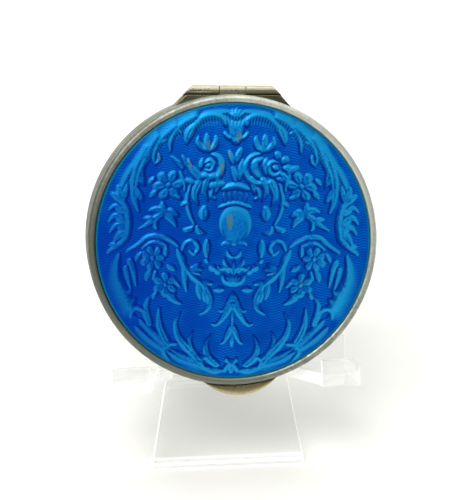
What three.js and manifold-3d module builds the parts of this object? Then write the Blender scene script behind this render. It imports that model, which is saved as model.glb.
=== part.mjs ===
// A round silver pill box with a blue enamelled lid, leaning in a clear acrylic easel. Millimetres, +Z up.
// The origin is on the table, under the middle of the object.
// The box is drawn lying on its back: x to the right, y up the lid toward the hinge, z out of the lid.
import * as THREE from "three";
import { mergeVertices } from "three/addons/utils/BufferGeometryUtils.js";
import Module from "manifold-3d";

const wasm = await Module();
wasm.setup();

// Gaps between pieces
const restGap = 0.3;
const seamGap = 0.3;
const collarClearance = 0.35;
const pinClearance = 0.1;
const knuckleClearance = 0.25;
const knuckleEndGap = 0.3;

// Box. It is turned a little about its own axis in the easel.
const lidRadius = 25;
const baseInset = 0.2;
const baseHeight = 6.65;
const baseWall = 0.8;
const baseFloor = 0.8;
const baseEdgeRound = 0.9;
const collarWall = 0.6;
const collarRise = 1.5;
const collarRoot = 2;
const lidHeight = 4.2;
const lidWall = 0.7;
const lidPlate = 0.7;
const bezelWidth = 1.5;
const bezelRise = 0.9;
const bezelFlat = 0.45;
const bezelRound = 1;
const ringSides = 60;
const boxTurn = THREE.MathUtils.degToRad(-1.8);

// Enamel panel
const panelThickness = 0.7;
const panelDome = 0.9;
const panelRings = 4;
const panelSides = 48;
const reliefHeight = 0.42;
const reliefSink = 0.25;
const tipSink = 0.08;
const fullHeightWidth = 0.05;
const reliefTurn = THREE.MathUtils.degToRad(-0.6);

// Hinge
const hingeReach = 0.6;
const knuckleRadius = 0.85;
const pinRadius = 0.35;
const pinOverhang = 0.3;
const middleKnuckle = 4.35;
const barrelHalf = 6.9;
const leafThickness = 1.05;
const lidLeafInset = 0.5;
const leafRoot = 3;
const hingeSides = 16;

// Thumb-piece
const thumbChord = 12.6;
const thumbReach = 1.85;
const thumbThickness = 1.7;
const thumbDrop = 0.5;
const thumbTurn = THREE.MathUtils.degToRad(4.2);

// Easel
const lean = THREE.MathUtils.degToRad(18);
const rearLean = THREE.MathUtils.degToRad(20);
const sheet = 2;
const bendRadius = 2.5;
const panelDrop = 41.7;
const panelTop = 6;
const footHalf = 13.65;
const topHalf = 5;
const rearFootHalf = 10;
const cornerRound = 1.5;
const armOuter = 21.3;
const armRootInner = 9.6;
const armTipInner = 14.8;
const seatLength = 13.8;
const lipHeight = 4.5;
const wingTop = -18;
const easelShift = -0.4;

// Worked-out sizes
const baseRadius = lidRadius - baseInset;
const seamHeight = baseHeight + seamGap / 2;
const lidBottom = seamHeight + seamGap / 2;
const lidTop = lidBottom + lidHeight;
const lidInner = lidRadius - lidWall;
const collarOuter = lidInner - collarClearance;
const collarInner = collarOuter - collarWall;
const bezelInner = lidRadius - bezelWidth;
const panelRadius = bezelInner - restGap;
const plateTop = lidTop - bezelRise;
const panelEdge = plateTop + restGap + panelThickness;
const hingeAxis = lidRadius + hingeReach;
const notchRadius = knuckleRadius + knuckleClearance;
const armTop = -Math.sqrt((baseRadius + restGap) ** 2 - armRootInner ** 2);

const silver = new THREE.MeshStandardMaterial({ color: 0xb9b3a2, roughness: 0.35, metalness: 1 });
const gilt = new THREE.MeshStandardMaterial({ color: 0xa89a68, roughness: 0.3, metalness: 1 });
const enamel = new THREE.MeshStandardMaterial({ color: 0x0a57c4, roughness: 0.12, metalness: 0 });
const acrylic = new THREE.MeshStandardMaterial({ color: 0xeef2f0, roughness: 0.05, metalness: 0 });
acrylic.transparent = true;
acrylic.opacity = 0.3;

// Solids and meshes

const mergeTolerance = 1e-4;

function solidOf(geometry) {
  const bare = geometry.clone();
  bare.deleteAttribute("normal");
  bare.deleteAttribute("uv");
  const merged = mergeVertices(bare, mergeTolerance);
  const corners = merged.index.array;
  const triVerts = [];
  for (let i = 0; i < corners.length; i += 3) {
    const [a, b, c] = corners.slice(i, i + 3);
    if (a !== b && b !== c && c !== a) triVerts.push(a, b, c);
  }
  const vertProperties = merged.attributes.position.array;
  return new wasm.Manifold(
    new wasm.Mesh({ numProp: 3, vertProperties, triVerts: new Uint32Array(triVerts) }),
  );
}

function joined(solids) {
  return solids.reduce((whole, next) => whole.add(next));
}

function meshOf(name, solid, material) {
  const cut = solid.getMesh();
  const geometry = new THREE.BufferGeometry();
  geometry.setAttribute("position", new THREE.BufferAttribute(cut.vertProperties, cut.numProp));
  geometry.setIndex(new THREE.BufferAttribute(cut.triVerts, 1));
  geometry.computeVertexNormals();
  const mesh = new THREE.Mesh(geometry, material);
  mesh.name = name;
  return mesh;
}

// A turned piece about z, from [radius, height] points that run up the outside and back down the inside.
function turned(profile, sides = ringSides) {
  const points = profile.map(([radius, height]) => new THREE.Vector2(radius, height));
  const geometry = new THREE.LatheGeometry([...points, points[0].clone()], sides);
  return solidOf(geometry.rotateX(Math.PI / 2));
}

function disc(radius, bottom, top, sides = ringSides) {
  const geometry = new THREE.CylinderGeometry(radius, radius, top - bottom, sides);
  return solidOf(geometry.rotateX(Math.PI / 2).translate(0, 0, (top + bottom) / 2));
}

// A flat shape in x and y, drawn out from z = bottom to z = top.
function slab(shape, bottom, top, matrix = new THREE.Matrix4()) {
  const geometry = new THREE.ExtrudeGeometry(shape, {
    depth: top - bottom,
    bevelEnabled: false,
    curveSegments: 6,
  });
  return solidOf(geometry.translate(0, 0, bottom).applyMatrix4(matrix));
}

function polygon(points) {
  return new THREE.Shape(points.map(([x, y]) => new THREE.Vector2(x, y)));
}

function rodAlongX(radius, left, right, y, z) {
  const geometry = new THREE.CylinderGeometry(radius, radius, right - left, hingeSides);
  return solidOf(geometry.rotateZ(Math.PI / 2).translate((left + right) / 2, y, z));
}

// Hinge

// The leaf's outline: straight at the top, with ends that slope out at 45 degrees toward the wall.
function leafOutline(top, inset) {
  const bottom = lidRadius - leafRoot;
  const barrelTop = hingeAxis + knuckleRadius;
  const halfAt = (y) => barrelHalf - inset + (barrelTop - y);
  return polygon([
    [-halfAt(bottom), bottom],
    [halfAt(bottom), bottom],
    [halfAt(top), top],
    [-halfAt(top), top],
  ]);
}

const knuckleHalf = (middleKnuckle - knuckleEndGap) / 2;
const middleHalf = knuckleHalf + knuckleEndGap;
const middleRoom = rodAlongX(notchRadius, -middleHalf, middleHalf, hingeAxis, seamHeight);
const pinBore = rodAlongX(pinRadius + pinClearance, -lidRadius, lidRadius, hingeAxis, seamHeight);

// The two stretches of the barrel beside the middle knuckle, as [left, right] pairs.
function outerStretches(from, to) {
  return [
    [-to, -from],
    [from, to],
  ];
}

function lidHinge() {
  const leaf = slab(
    leafOutline(hingeAxis - notchRadius, lidLeafInset),
    lidBottom,
    lidBottom + leafThickness,
  );
  const web = polygon([
    [-knuckleHalf, lidRadius - lidWall],
    [knuckleHalf, lidRadius - lidWall],
    [knuckleHalf, hingeAxis],
    [-knuckleHalf, hingeAxis],
  ]);
  const knuckle = rodAlongX(knuckleRadius, -knuckleHalf, knuckleHalf, hingeAxis, seamHeight);
  const root = disc(lidRadius - lidWall / 2, lidBottom - leafThickness, lidBottom + 2 * leafThickness);
  return leaf.add(slab(web, seamHeight, seamHeight + knuckleRadius)).subtract(root).add(knuckle);
}

function baseHinge() {
  const leaf = slab(leafOutline(hingeAxis, 0), baseHeight - leafThickness, baseHeight);
  const root = disc(baseRadius - baseWall / 2, baseHeight - 2 * leafThickness, lidBottom);
  const endTrim = slab(
    leafOutline(hingeAxis + knuckleRadius, 0),
    seamHeight - knuckleRadius,
    seamHeight + knuckleRadius,
  );
  const knuckles = outerStretches(middleHalf, barrelHalf + 2 * knuckleRadius).map(
    ([left, right]) => rodAlongX(knuckleRadius, left, right, hingeAxis, seamHeight).intersect(endTrim),
  );
  return joined([leaf.subtract(root).subtract(middleRoom), ...knuckles]);
}

// Box

function basePan() {
  const collarTop = baseHeight + collarRise;
  const wallInner = baseRadius - baseWall;
  const pan = turned([
    [0, 0],
    [baseRadius - baseEdgeRound, 0],
    [baseRadius - baseEdgeRound * 0.3, baseEdgeRound * 0.3],
    [baseRadius, baseEdgeRound],
    [baseRadius, baseHeight],
    [collarOuter, baseHeight],
    [collarOuter, collarTop],
    [collarInner, collarTop],
    [collarInner, baseHeight - collarRoot],
    [wallInner, baseHeight - collarRoot - baseWall],
    [wallInner, baseFloor],
    [0, baseFloor],
  ]);
  return pan.subtract(middleRoom).add(baseHinge()).subtract(pinBore);
}

function domeAt(share) {
  return panelDome * (1 - share * share);
}

// Points of the dome's curve from the middle out to the rim, above or below the panel.
function domeCurve(radius, level, count) {
  return Array.from({ length: count + 1 }, (_, i) => {
    const share = i / count;
    return [radius * share, level + domeAt((radius * share) / panelRadius)];
  });
}

function lidFrame() {
  const crownOuter = bezelInner + (bezelWidth + bezelFlat) / 2;
  const crownInner = crownOuter - bezelFlat;
  const underPlate = domeCurve(lidInner, plateTop - lidPlate, 3);
  const overPlate = domeCurve(bezelInner, plateTop, 3);
  const lid = turned([
    ...underPlate.slice(0, -1),
    [lidInner, plateTop - lidPlate],
    [lidInner, lidBottom],
    [lidRadius, lidBottom],
    [lidRadius, lidTop - bezelRound],
    [(lidRadius * 2 + crownOuter) / 3, lidTop - bezelRound * 0.4],
    [crownOuter, lidTop],
    [crownInner, lidTop],
    [bezelInner, lidTop - bezelRound * 0.3],
    ...overPlate.reverse(),
  ]);
  const barrelEnd = barrelHalf + 2 * knuckleRadius + knuckleEndGap;
  const outerRoom = outerStretches(knuckleHalf, barrelEnd).map(([left, right]) =>
    rodAlongX(notchRadius, left, right, hingeAxis, seamHeight),
  );
  return lid.add(lidHinge()).subtract(joined(outerRoom)).subtract(pinBore);
}

function hingePin() {
  const half = barrelHalf + pinOverhang;
  return rodAlongX(pinRadius, -half, half, hingeAxis, seamHeight);
}

// A crescent that follows the lid's wall on the inside and bulges outward.
function thumbPiece() {
  const inner = lidRadius + restGap;
  const halfAngle = Math.asin(thumbChord / 2 / inner);
  const endY = -inner * Math.cos(halfAngle);
  const bulge = thumbReach + inner + endY;
  const outer = ((thumbChord / 2) ** 2 + bulge ** 2) / (2 * bulge);
  const outerY = endY - bulge + outer;
  const outerHalf = Math.asin(thumbChord / 2 / outer);
  const down = -Math.PI / 2;
  const shape = new THREE.Shape();
  shape.absarc(0, outerY, outer, down - outerHalf, down + outerHalf, false);
  shape.absarc(0, 0, inner, down + halfAngle, down - halfAngle, true);
  const bottom = lidBottom + thumbDrop;
  return slab(shape, bottom, bottom + thumbThickness, new THREE.Matrix4().makeRotationZ(thumbTurn));
}

// Relief. Strokes are drawn in shares of the panel's radius, on the right half, and mirrored.

const flip = (stroke) => ({ ...stroke, points: stroke.points.map(([x, y]) => [-x, y]) });
const mirrored = (strokes) => [...strokes, ...strokes.map(flip)];

// A leaf from its root to its tip, bowed to its left by a share of its length and widest near the root.
function leaf(root, tip, width, bow = 0) {
  const [dx, dy] = [tip[0] - root[0], tip[1] - root[1]];
  const at = (t) => {
    const side = 4 * bow * t * (1 - t);
    return [root[0] + dx * t - dy * side, root[1] + dy * t + dx * side];
  };
  return { points: [0, 0.45, 1].map(at), width };
}

// A stem or scroll through a few chosen points, pointed at both ends.
function stem(points, width) {
  return { points, width };
}

function boss(x, y, halfWidth, halfHeight = halfWidth) {
  return { boss: true, points: [[x, y]], halfWidth, halfHeight };
}

function fan(root, heading, spread, count, length, width) {
  return Array.from({ length: count }, (_, i) => {
    const share = count > 1 ? i / (count - 1) - 0.5 : 0;
    const angle = THREE.MathUtils.degToRad(heading + spread * share);
    const tip = [root[0] + length * Math.cos(angle), root[1] + length * Math.sin(angle)];
    return leaf(root, tip, width);
  });
}

function rosette(x, y, radius, petals) {
  const turns = fan([x, y], 90, 360 - 360 / petals, petals, radius, radius * 0.75);
  return [...turns, boss(x, y, radius * 0.3)];
}

// A band that follows the rim between two angles, while its distance from the middle changes evenly.
function rimBand(fromAngle, toAngle, fromRadius, toRadius, width, steps) {
  const points = Array.from({ length: steps + 1 }, (_, i) => {
    const angle = THREE.MathUtils.degToRad(fromAngle + ((toAngle - fromAngle) * i) / steps);
    const radius = fromRadius + ((toRadius - fromRadius) * i) / steps;
    return [radius * Math.cos(angle), radius * Math.sin(angle)];
  });
  return stem(points, width);
}

function topPalmette() {
  return [
    ...fan([0, 0.87], 90, 100, 5, 0.1, 0.035),
    boss(0, 0.82, 0.035, 0.05),
    ...mirrored([leaf([0.02, 0.775], [0.085, 0.79], 0.035)]),
    leaf([0, 0.785], [0, 0.7], 0.05),
  ];
}

function upperScrolls() {
  return mirrored([
    stem([[0.13, 0.84], [0.09, 0.865], [0.145, 0.905], [0.24, 0.87], [0.31, 0.78], [0.37, 0.675]], 0.05),
    rimBand(86, 56, 0.932, 0.925, 0.06, 4),
    rimBand(58, 26, 0.925, 0.83, 0.065, 4),
    leaf([0.73, 0.38], [0.686, 0.205], 0.085, 0.12),
    leaf([0.71, 0.37], [0.655, 0.31], 0.05),
    leaf([0.343, 0.85], [0.467, 0.66], 0.05, 0.12),
    leaf([0.485, 0.76], [0.57, 0.5], 0.06, 0.15),
    leaf([0.628, 0.62], [0.661, 0.455], 0.05, 0.12),
  ]);
}

function sideScrolls() {
  return mirrored([
    stem([[0.815, 0.34], [0.784, 0.27], [0.77, 0.13], [0.785, 0], [0.835, -0.085], [0.905, -0.1]], 0.045),
    ...fan([0.8, 0.3], 70, 45, 3, 0.1, 0.04),
    leaf([0.79, 0.21], [0.88, 0.24], 0.05, 0.3),
    leaf([0.78, 0.1], [0.88, 0.11], 0.05, 0.35),
    leaf([0.785, 0.04], [0.87, 0], 0.04, -0.25),
  ]);
}

function flowers() {
  return [
    ...mirrored([
      leaf([0.215, 0.635], [0.235, 0.775], 0.06),
      leaf([0.205, 0.635], [0.165, 0.755], 0.045, 0.2),
      leaf([0.225, 0.635], [0.295, 0.745], 0.045, -0.2),
      ...rosette(0.475, 0.4, 0.085, 5),
      leaf([0.525, 0.23], [0.64, 0.23], 0.05, 0.1),
      leaf([0.515, 0.215], [0.41, 0.2], 0.05, 0.1),
      leaf([0.54, 0.2], [0.68, 0.06], 0.03, 0.2),
      leaf([0.37, 0.55], [0.46, 0.575], 0.055),
      leaf([0.36, 0.63], [0.27, 0.51], 0.055, 0.1),
      leaf([0.28, 0.42], [0.27, 0.26], 0.06, 0.15),
      leaf([0.21, 0.44], [0.2, 0.29], 0.05, 0.1),
      leaf([0.12, 0.46], [0.14, 0.34], 0.055),
      leaf([0.09, 0.44], [0.16, 0.53], 0.05),
      leaf([0.17, 0.48], [0.22, 0.6], 0.07, 0.25),
      stem([[0.317, 0.4], [0.34, 0.3], [0.321, 0.2], [0.285, 0.12]], 0.02),
      boss(0.22, 0.19, 0.045, 0.04),
    ]),
    leaf([0, 0.43], [-0.02, 0.56], 0.04),
    leaf([0.03, 0.45], [0.05, 0.6], 0.04),
    leaf([0.01, 0.58], [0.04, 0.68], 0.045),
  ];
}

function urn() {
  return [
    leaf([-0.09, 0.39], [0.09, 0.39], 0.04, -0.06),
    ...[-0.035, 0, 0.035].map((x) => leaf([x, 0.285], [x * 1.3, 0.375], 0.035)),
    leaf([-0.09, 0.275], [0.09, 0.275], 0.035, 0.04),
    boss(0, 0.15, 0.105, 0.115),
    boss(0, 0.005, 0.025),
  ];
}

function middleArcs() {
  return mirrored([
    stem([[0.43, -0.015], [0.5, 0.025], [0.58, 0.035], [0.66, 0.01], [0.72, -0.06], [0.78, -0.09]], 0.035),
    leaf([0.49, -0.01], [0.49, -0.11], 0.03),
    ...rosette(0.59, -0.128, 0.085, 6),
    ...rosette(0.5, -0.305, 0.07, 5),
    leaf([0.47, -0.16], [0.42, -0.2], 0.035),
    leaf([0.6, -0.21], [0.64, -0.3], 0.045),
    leaf([0.735, -0.2], [0.785, -0.31], 0.04),
    leaf([0.49, -0.38], [0.37, -0.45], 0.035, 0.15),
  ]);
}

function innerVolutes() {
  return mirrored([
    stem([[0.285, -0.075], [0.27, -0.035], [0.32, -0.01], [0.375, -0.045], [0.385, -0.12]], 0.035),
    stem([[0.385, -0.11], [0.315, -0.24], [0.224, -0.32], [0.163, -0.42], [0.18, -0.5], [0.25, -0.53]], 0.045),
    ...fan([0.34, -0.19], 168, 55, 3, 0.11, 0.035),
    leaf([0.35, -0.2], [0.335, -0.36], 0.045, -0.08),
    leaf([0.2, -0.34], [0.144, -0.305], 0.035),
    leaf([0.215, -0.34], [0.241, -0.45], 0.04),
    leaf([0.194, -0.005], [0.194, -0.135], 0.05),
  ]);
}

function shell() {
  return [
    ...fan([0, -0.28], 90, 100, 5, 0.12, 0.045),
    ...mirrored([
      boss(0.098, -0.2, 0.025),
      boss(0.152, -0.185, 0.022),
      leaf([0, -0.32], [0.085, -0.27], 0.04, -0.2),
      leaf([0.05, -0.34], [0.115, -0.35], 0.03),
    ]),
  ];
}

function huskPendant() {
  return [
    boss(0, -0.385, 0.022),
    ...mirrored([
      leaf([0.005, -0.41], [0.075, -0.485], 0.045, -0.15),
      leaf([0.005, -0.5], [0.12, -0.59], 0.045, 0.15),
      leaf([0.01, -0.56], [0.055, -0.71], 0.05, 0.1),
    ]),
    leaf([0, -0.54], [0, -0.7], 0.045),
    leaf([0, -0.71], [0, -0.86], 0.035),
    ...fan([0, -0.915], 90, 60, 3, 0.055, 0.03),
    ...fan([0, -0.915], 270, 60, 3, 0.055, 0.03),
  ];
}

function lowerScrolls() {
  return mirrored([
    leaf([0.79, -0.5], [0.855, -0.12], 0.11, -0.1),
    leaf([0.83, -0.4], [0.745, -0.35], 0.06, 0.1),
    leaf([0.79, -0.5], [0.65, -0.49], 0.05, 0.25),
    leaf([0.69, -0.53], [0.606, -0.39], 0.055, -0.15),
    rimBand(-36, -56, 0.925, 0.925, 0.09, 3),
    leaf([0.6, -0.68], [0.525, -0.485], 0.07, -0.2),
    rimBand(-54, -70, 0.925, 0.93, 0.08, 2),
    leaf([0.42, -0.82], [0.385, -0.525], 0.065, 0.2),
    leaf([0.5, -0.78], [0.42, -0.69], 0.05, 0.2),
    leaf([0.33, -0.85], [0.307, -0.65], 0.065, 0.1),
    rimBand(-68, -83, 0.92, 0.93, 0.075, 2),
    leaf([0.19, -0.89], [0.161, -0.695], 0.065, 0.25),
    leaf([0.21, -0.82], [0.21, -0.76], 0.03),
    leaf([0.15, -0.93], [0.045, -0.93], 0.045),
  ]);
}

function allStrokes() {
  return [
    ...topPalmette(),
    ...upperScrolls(),
    ...sideScrolls(),
    ...flowers(),
    ...urn(),
    ...middleArcs(),
    ...innerVolutes(),
    ...shell(),
    ...huskPendant(),
    ...lowerScrolls(),
  ];
}

// A closed surface from rings of equal length. The first and last rings are closed by a fan about their first point.
function skinOf(rings) {
  const count = rings[0].length;
  const corners = [];
  for (let r = 0; r + 1 < rings.length; r += 1) {
    for (let i = 0; i < count; i += 1) {
      const next = (i + 1) % count;
      const [a, b] = [r * count + i, r * count + next];
      corners.push(a, b, b + count, a, b + count, a + count);
    }
  }
  const last = (rings.length - 1) * count;
  for (let i = 1; i + 1 < count; i += 1) {
    corners.push(0, i + 1, i);
    corners.push(last, last + i, last + i + 1);
  }
  const geometry = new THREE.BufferGeometry();
  geometry.setAttribute("position", new THREE.Float32BufferAttribute(rings.flat(2), 3));
  geometry.setIndex(corners);
  return solidOf(geometry);
}

// The point of the panel at (x, y) in shares of its radius, raised above the dome.
function onPanel([x, y], raise) {
  const z = panelEdge + domeAt(Math.hypot(x, y)) + raise;
  return [x * panelRadius, y * panelRadius, z];
}

// How much wider a ridge is at its sunk feet than where it leaves the dome.
const footSpread = (crest) => (crest + reliefSink) / crest;

// A tent-shaped ridge along the stroke: two feet below the dome, a crest above it and a sunk point at each end.
function ridge({ points, width }) {
  const crest = reliefHeight * Math.min(1, width / fullHeightWidth);
  const last = points.length - 1;
  const rings = points.map(([x, y], i) => {
    if (i === 0 || i === last) return Array(3).fill(onPanel([x, y], -tipSink));
    const [before, after] = [points[i - 1], points[i + 1]];
    const [dx, dy] = [after[0] - before[0], after[1] - before[1]];
    const half = footSpread(crest) * (width / 2 / Math.hypot(dx, dy));
    return [
      onPanel([x - dy * half, y + dx * half], -reliefSink),
      onPanel([x, y], crest),
      onPanel([x + dy * half, y - dx * half], -reliefSink),
    ];
  });
  return skinOf(rings);
}

function button({ points, halfWidth, halfHeight }) {
  const [[x, y]] = points;
  const sides = halfWidth > 0.06 ? 12 : 6;
  const ringAt = (share, raise) =>
    Array.from({ length: sides }, (_, i) => {
      const angle = (2 * Math.PI * i) / sides;
      const at = [x + halfWidth * share * Math.cos(angle), y + halfHeight * share * Math.sin(angle)];
      return onPanel(at, raise);
    });
  return skinOf([ringAt(1, -reliefSink), ringAt(0.9, reliefHeight * 0.5), ringAt(0.5, reliefHeight)]);
}

function enamelPanel() {
  const top = domeCurve(panelRadius, panelEdge, panelRings).reverse();
  const under = domeCurve(panelRadius, panelEdge - panelThickness, 3);
  const dome = turned([...under, ...top], panelSides);
  const edge = disc(panelRadius - restGap, 0, lidTop + panelDome + reliefHeight, panelSides);
  const strokes = allStrokes().map((stroke) => (stroke.boss ? button(stroke) : ridge(stroke)));
  const turn = new THREE.Matrix4().makeRotationZ(reliefTurn);
  const relief = joined(strokes).intersect(edge).transform(turn.elements);
  return dome.add(relief);
}

// Easel. It is drawn upright about the middle of the box's back.

// A flat sheet's own frame: x across, y up the sheet and z out of its face, leaning back by the angle.
function leaning(angle) {
  return new THREE.Matrix4().makeRotationX(Math.PI / 2 - angle);
}

// A strip that widens downward, from its top to a foot with round corners.
function stripOutline(topWidth, footWidth, top, foot) {
  const slope = (footWidth - topWidth) / (top - foot);
  const shape = new THREE.Shape();
  shape.moveTo(-topWidth, top);
  shape.lineTo(-footWidth + slope * cornerRound, foot + cornerRound);
  shape.quadraticCurveTo(-footWidth, foot, -footWidth + cornerRound, foot);
  shape.lineTo(footWidth - cornerRound, foot);
  shape.quadraticCurveTo(footWidth, foot, footWidth - slope * cornerRound, foot + cornerRound);
  shape.lineTo(topWidth, top);
  return shape;
}

const panelFront = -restGap;
const panelBack = panelFront - sheet;
const floorLevel = -panelDrop * Math.cos(lean) + panelFront * Math.sin(lean);

function easelBend(middle) {
  const shape = new THREE.Shape();
  const [from, to] = [rearLean, Math.PI - lean];
  shape.absarc(0, 0, bendRadius + sheet / 2, from, to, false);
  shape.absarc(0, 0, bendRadius - sheet / 2, to, from, true);
  const across = new THREE.Matrix4().makeBasis(
    new THREE.Vector3(0, 1, 0),
    new THREE.Vector3(0, 0, 1),
    new THREE.Vector3(1, 0, 0),
  );
  return slab(shape, -topHalf, topHalf, across.setPosition(0, middle.y, middle.z));
}

// The rear leg's top is where the bend lets go of it, and it reaches down to the table.
function rearLeg(middle) {
  const start = new THREE.Vector3(0, Math.cos(rearLean), Math.sin(rearLean))
    .multiplyScalar(bendRadius)
    .add(middle);
  const length = (start.z + (sheet / 2) * Math.sin(rearLean) - floorLevel) / Math.cos(rearLean);
  const outline = stripOutline(topHalf, rearFootHalf, 0, -length);
  return slab(outline, -sheet / 2, sheet / 2, leaning(-rearLean).setPosition(start));
}

function easelArm(side) {
  const armBottom = armTop - sheet;
  const seatEnd = panelFront + seatLength;
  const lipEnd = seatEnd + sheet;
  const acrossAndOut = new THREE.Matrix4().makeBasis(
    new THREE.Vector3(1, 0, 0),
    new THREE.Vector3(0, 0, 1),
    new THREE.Vector3(0, -1, 0),
  );
  const arm = polygon([
    [side * armRootInner, panelBack],
    [side * armOuter, panelBack],
    [side * armOuter, lipEnd],
    [side * armTipInner, lipEnd],
    [side * armTipInner, seatEnd],
    [side * armRootInner, panelFront],
  ]);
  const tallBox = (inner, top) =>
    polygon([
      [side * inner, armBottom],
      [side * armOuter, armBottom],
      [side * armOuter, top - cornerRound / 2],
      [side * (armOuter - cornerRound / 2), top],
      [side * inner, top],
    ]);
  return joined([
    slab(arm, -armTop, -armBottom, acrossAndOut),
    slab(tallBox(topHalf, wingTop), panelBack, panelFront),
    slab(tallBox(armTipInner, armBottom + lipHeight), seatEnd, lipEnd),
  ]);
}

function displayEasel() {
  const panelMiddle = panelFront - sheet / 2;
  const middle = new THREE.Vector3(0, panelTop, panelMiddle - bendRadius).applyMatrix4(leaning(lean));
  const panel = slab(stripOutline(topHalf, footHalf, panelTop, -panelDrop), panelBack, panelFront);
  const front = joined([panel, easelArm(-1), easelArm(1)]).transform(leaning(lean).elements);
  const whole = joined([front, easelBend(middle), rearLeg(middle)]);
  const floorBlock = disc(4 * lidRadius, floorLevel - 4 * lidRadius, floorLevel, 8);
  return whole.subtract(floorBlock).translate([easelShift, 0, 0]);
}

const box = new THREE.Group();
box.rotation.set(Math.PI / 2 - lean, 0, boxTurn);
box.add(
  meshOf("base_pan", basePan(), silver),
  meshOf("lid_frame", lidFrame(), silver),
  meshOf("enamel_panel", enamelPanel(), enamel),
  meshOf("hinge_pin", hingePin(), gilt),
  meshOf("thumb_piece", thumbPiece(), gilt),
);

const pillBox = new THREE.Group();
pillBox.add(box, meshOf("display_easel", displayEasel(), acrylic));

// The origin goes to the bottom middle of the whole object.
const bounds = new THREE.Box3().setFromObject(pillBox);
for (const piece of pillBox.children) {
  piece.position.set(
    -(bounds.min.x + bounds.max.x) / 2,
    -(bounds.min.y + bounds.max.y) / 2,
    -bounds.min.z,
  );
}

export default pillBox;
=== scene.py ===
"""The looks of a round silver pill box with a blue enamelled lid, standing in a clear acrylic easel.

The box is drawn lying on its back, in millimetres: x to the right, y up the lid toward the hinge and z out of
the lid. in_frame() turns and leans it into the frame's metres.
"""

import math

import bmesh
import bpy
import numpy as np
from mathutils import Matrix, Vector


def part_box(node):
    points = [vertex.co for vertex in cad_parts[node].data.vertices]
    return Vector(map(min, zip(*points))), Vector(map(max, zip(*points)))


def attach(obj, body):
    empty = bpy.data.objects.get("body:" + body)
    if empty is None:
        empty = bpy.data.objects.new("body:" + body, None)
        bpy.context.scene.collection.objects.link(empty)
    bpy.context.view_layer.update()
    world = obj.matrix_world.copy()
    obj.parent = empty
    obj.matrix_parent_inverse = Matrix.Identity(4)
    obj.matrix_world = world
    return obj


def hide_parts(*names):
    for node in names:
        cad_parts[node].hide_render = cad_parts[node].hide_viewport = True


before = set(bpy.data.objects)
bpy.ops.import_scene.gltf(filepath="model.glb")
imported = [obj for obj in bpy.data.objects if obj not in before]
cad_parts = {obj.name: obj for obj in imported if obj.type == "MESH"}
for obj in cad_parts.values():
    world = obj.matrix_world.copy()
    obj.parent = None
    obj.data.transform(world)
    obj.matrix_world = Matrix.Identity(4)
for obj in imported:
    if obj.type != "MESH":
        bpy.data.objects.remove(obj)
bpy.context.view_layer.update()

bl_info = {
    "name": "Enamelled pill box",
    "version": (1, 0, 0),
    "blender": (4, 5, 0),
    "location": "3D View > Sidebar > Pill box",
    "description": "Builds the surfaces, finishes and stage of an enamelled pill box on its easel",
    "category": "Object",
}

# Sizes of the solids that the surfaces follow, in millimetres
REST_GAP = 0.3
LID_RADIUS = 25.0
LID_WALL = 0.7
LID_PLATE = 0.7
LID_BOTTOM = 6.95
LID_TOP = 11.15
VISIBLE_INNER = 23.7
BEZEL_RISE = 0.9
BEZEL_FLAT = 0.45
BEZEL_ROUND = 1.0
BASE_RADIUS = 24.8
BASE_WALL = 0.8
BASE_FLOOR = 0.8
BASE_HEIGHT = 6.65
BASE_EDGE_ROUND = 0.9
COLLAR_OUTER = 23.95
COLLAR_INNER = 23.35
COLLAR_RISE = 1.5
COLLAR_ROOT = 2.0
PANEL_RADIUS = 23.2
ENAMEL_RADIUS = 23.66
PANEL_DOME = 0.9
PANEL_THICKNESS = 0.7
PLATE_TOP = LID_TOP - BEZEL_RISE
PANEL_EDGE = PLATE_TOP + REST_GAP + PANEL_THICKNESS
HINGE_Y = 25.6
HINGE_Z = 6.8
KNUCKLE_RADIUS = 0.85
NOTCH_RADIUS = 1.1
PIN_RADIUS = 0.35
MIDDLE_KNUCKLE_HALF = 2.24
MIDDLE_ROOM_HALF = 2.325
BARREL_HALF = 6.9
PIN_HALF = 7.2
PIN_ROUND = 0.2
PLATE_RIM = 0.6
LEAF_THICKNESS = 1.05
LEAF_FOOT = 22.1
LID_LEAF_ROOT = 24.75
LID_LEAF_INSET = 0.5
LID_LEAF_LAP = 0.35
BASE_LEAF_ROOT = 24.5
WEB_BOTTOM = HINGE_Z + 0.1
WEB_TOP = HINGE_Z + KNUCKLE_RADIUS - 0.02
HINGE_EDGE = 0.12
EASEL_EDGE = 0.22
THUMB_CHORD = 12.6
THUMB_REACH = 1.85
THUMB_BOTTOM = 7.45
THUMB_THICKNESS = 1.7
THUMB_POWER = 0.45
THUMB_TIP = 0.03
THUMB_TURN = math.radians(4.2)
LEAN = math.radians(18)
BOX_TURN = math.radians(-1.8)
RELIEF_TURN = math.radians(-0.6)
SHARP_ANGLE = math.radians(32)

# The heights between which painted shade lies along the seam of the lid and the tray, how far it fades beyond
# them and how dark it is
SEAM_SHADE_TOP = 7.25
SEAM_SHADE_BOTTOM = 6.4
SEAM_SHADE_FADE = 1.4
SEAM_SHADE_SHARE = 0.65

# Painted shade on the hinge, next to the lid's wall: distances beyond the lid's wall, and how strong it is
# there
HINGE_SHADE = ((-0.7, 0.9), (0.2, 0.5), (1.2, 0.0))

# Fineness of the surfaces
SHELL_SIDES = 384
SHELL_MIDDLE = 0.5
WALL_STEP = 0.2
PLATE_STEP = 1.0
PLATE_CORNERS = 24
CORNER_POINTS = 7
PANEL_GRID = 297
BACK_RINGS = (1.0, 0.8, 0.6, 0.4, 0.2, 0.05)
RELIEF_GRID = 701
RELIEF_SOFTEN = 8
LEAF_POINTS = 40
ROD_SIDES = 40
PIN_RINGS = 25
CRESCENT_STEPS = 72
CRESCENT_SIDES = 28
BACKDROP_STEPS = 24

# The share of a straight run that a rounded corner may take from it
LONGEST_CUT = 0.49

# Points of the easel's solid that are closer than this, in metres, are one point
MERGE_DISTANCE = 2e-6

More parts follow.
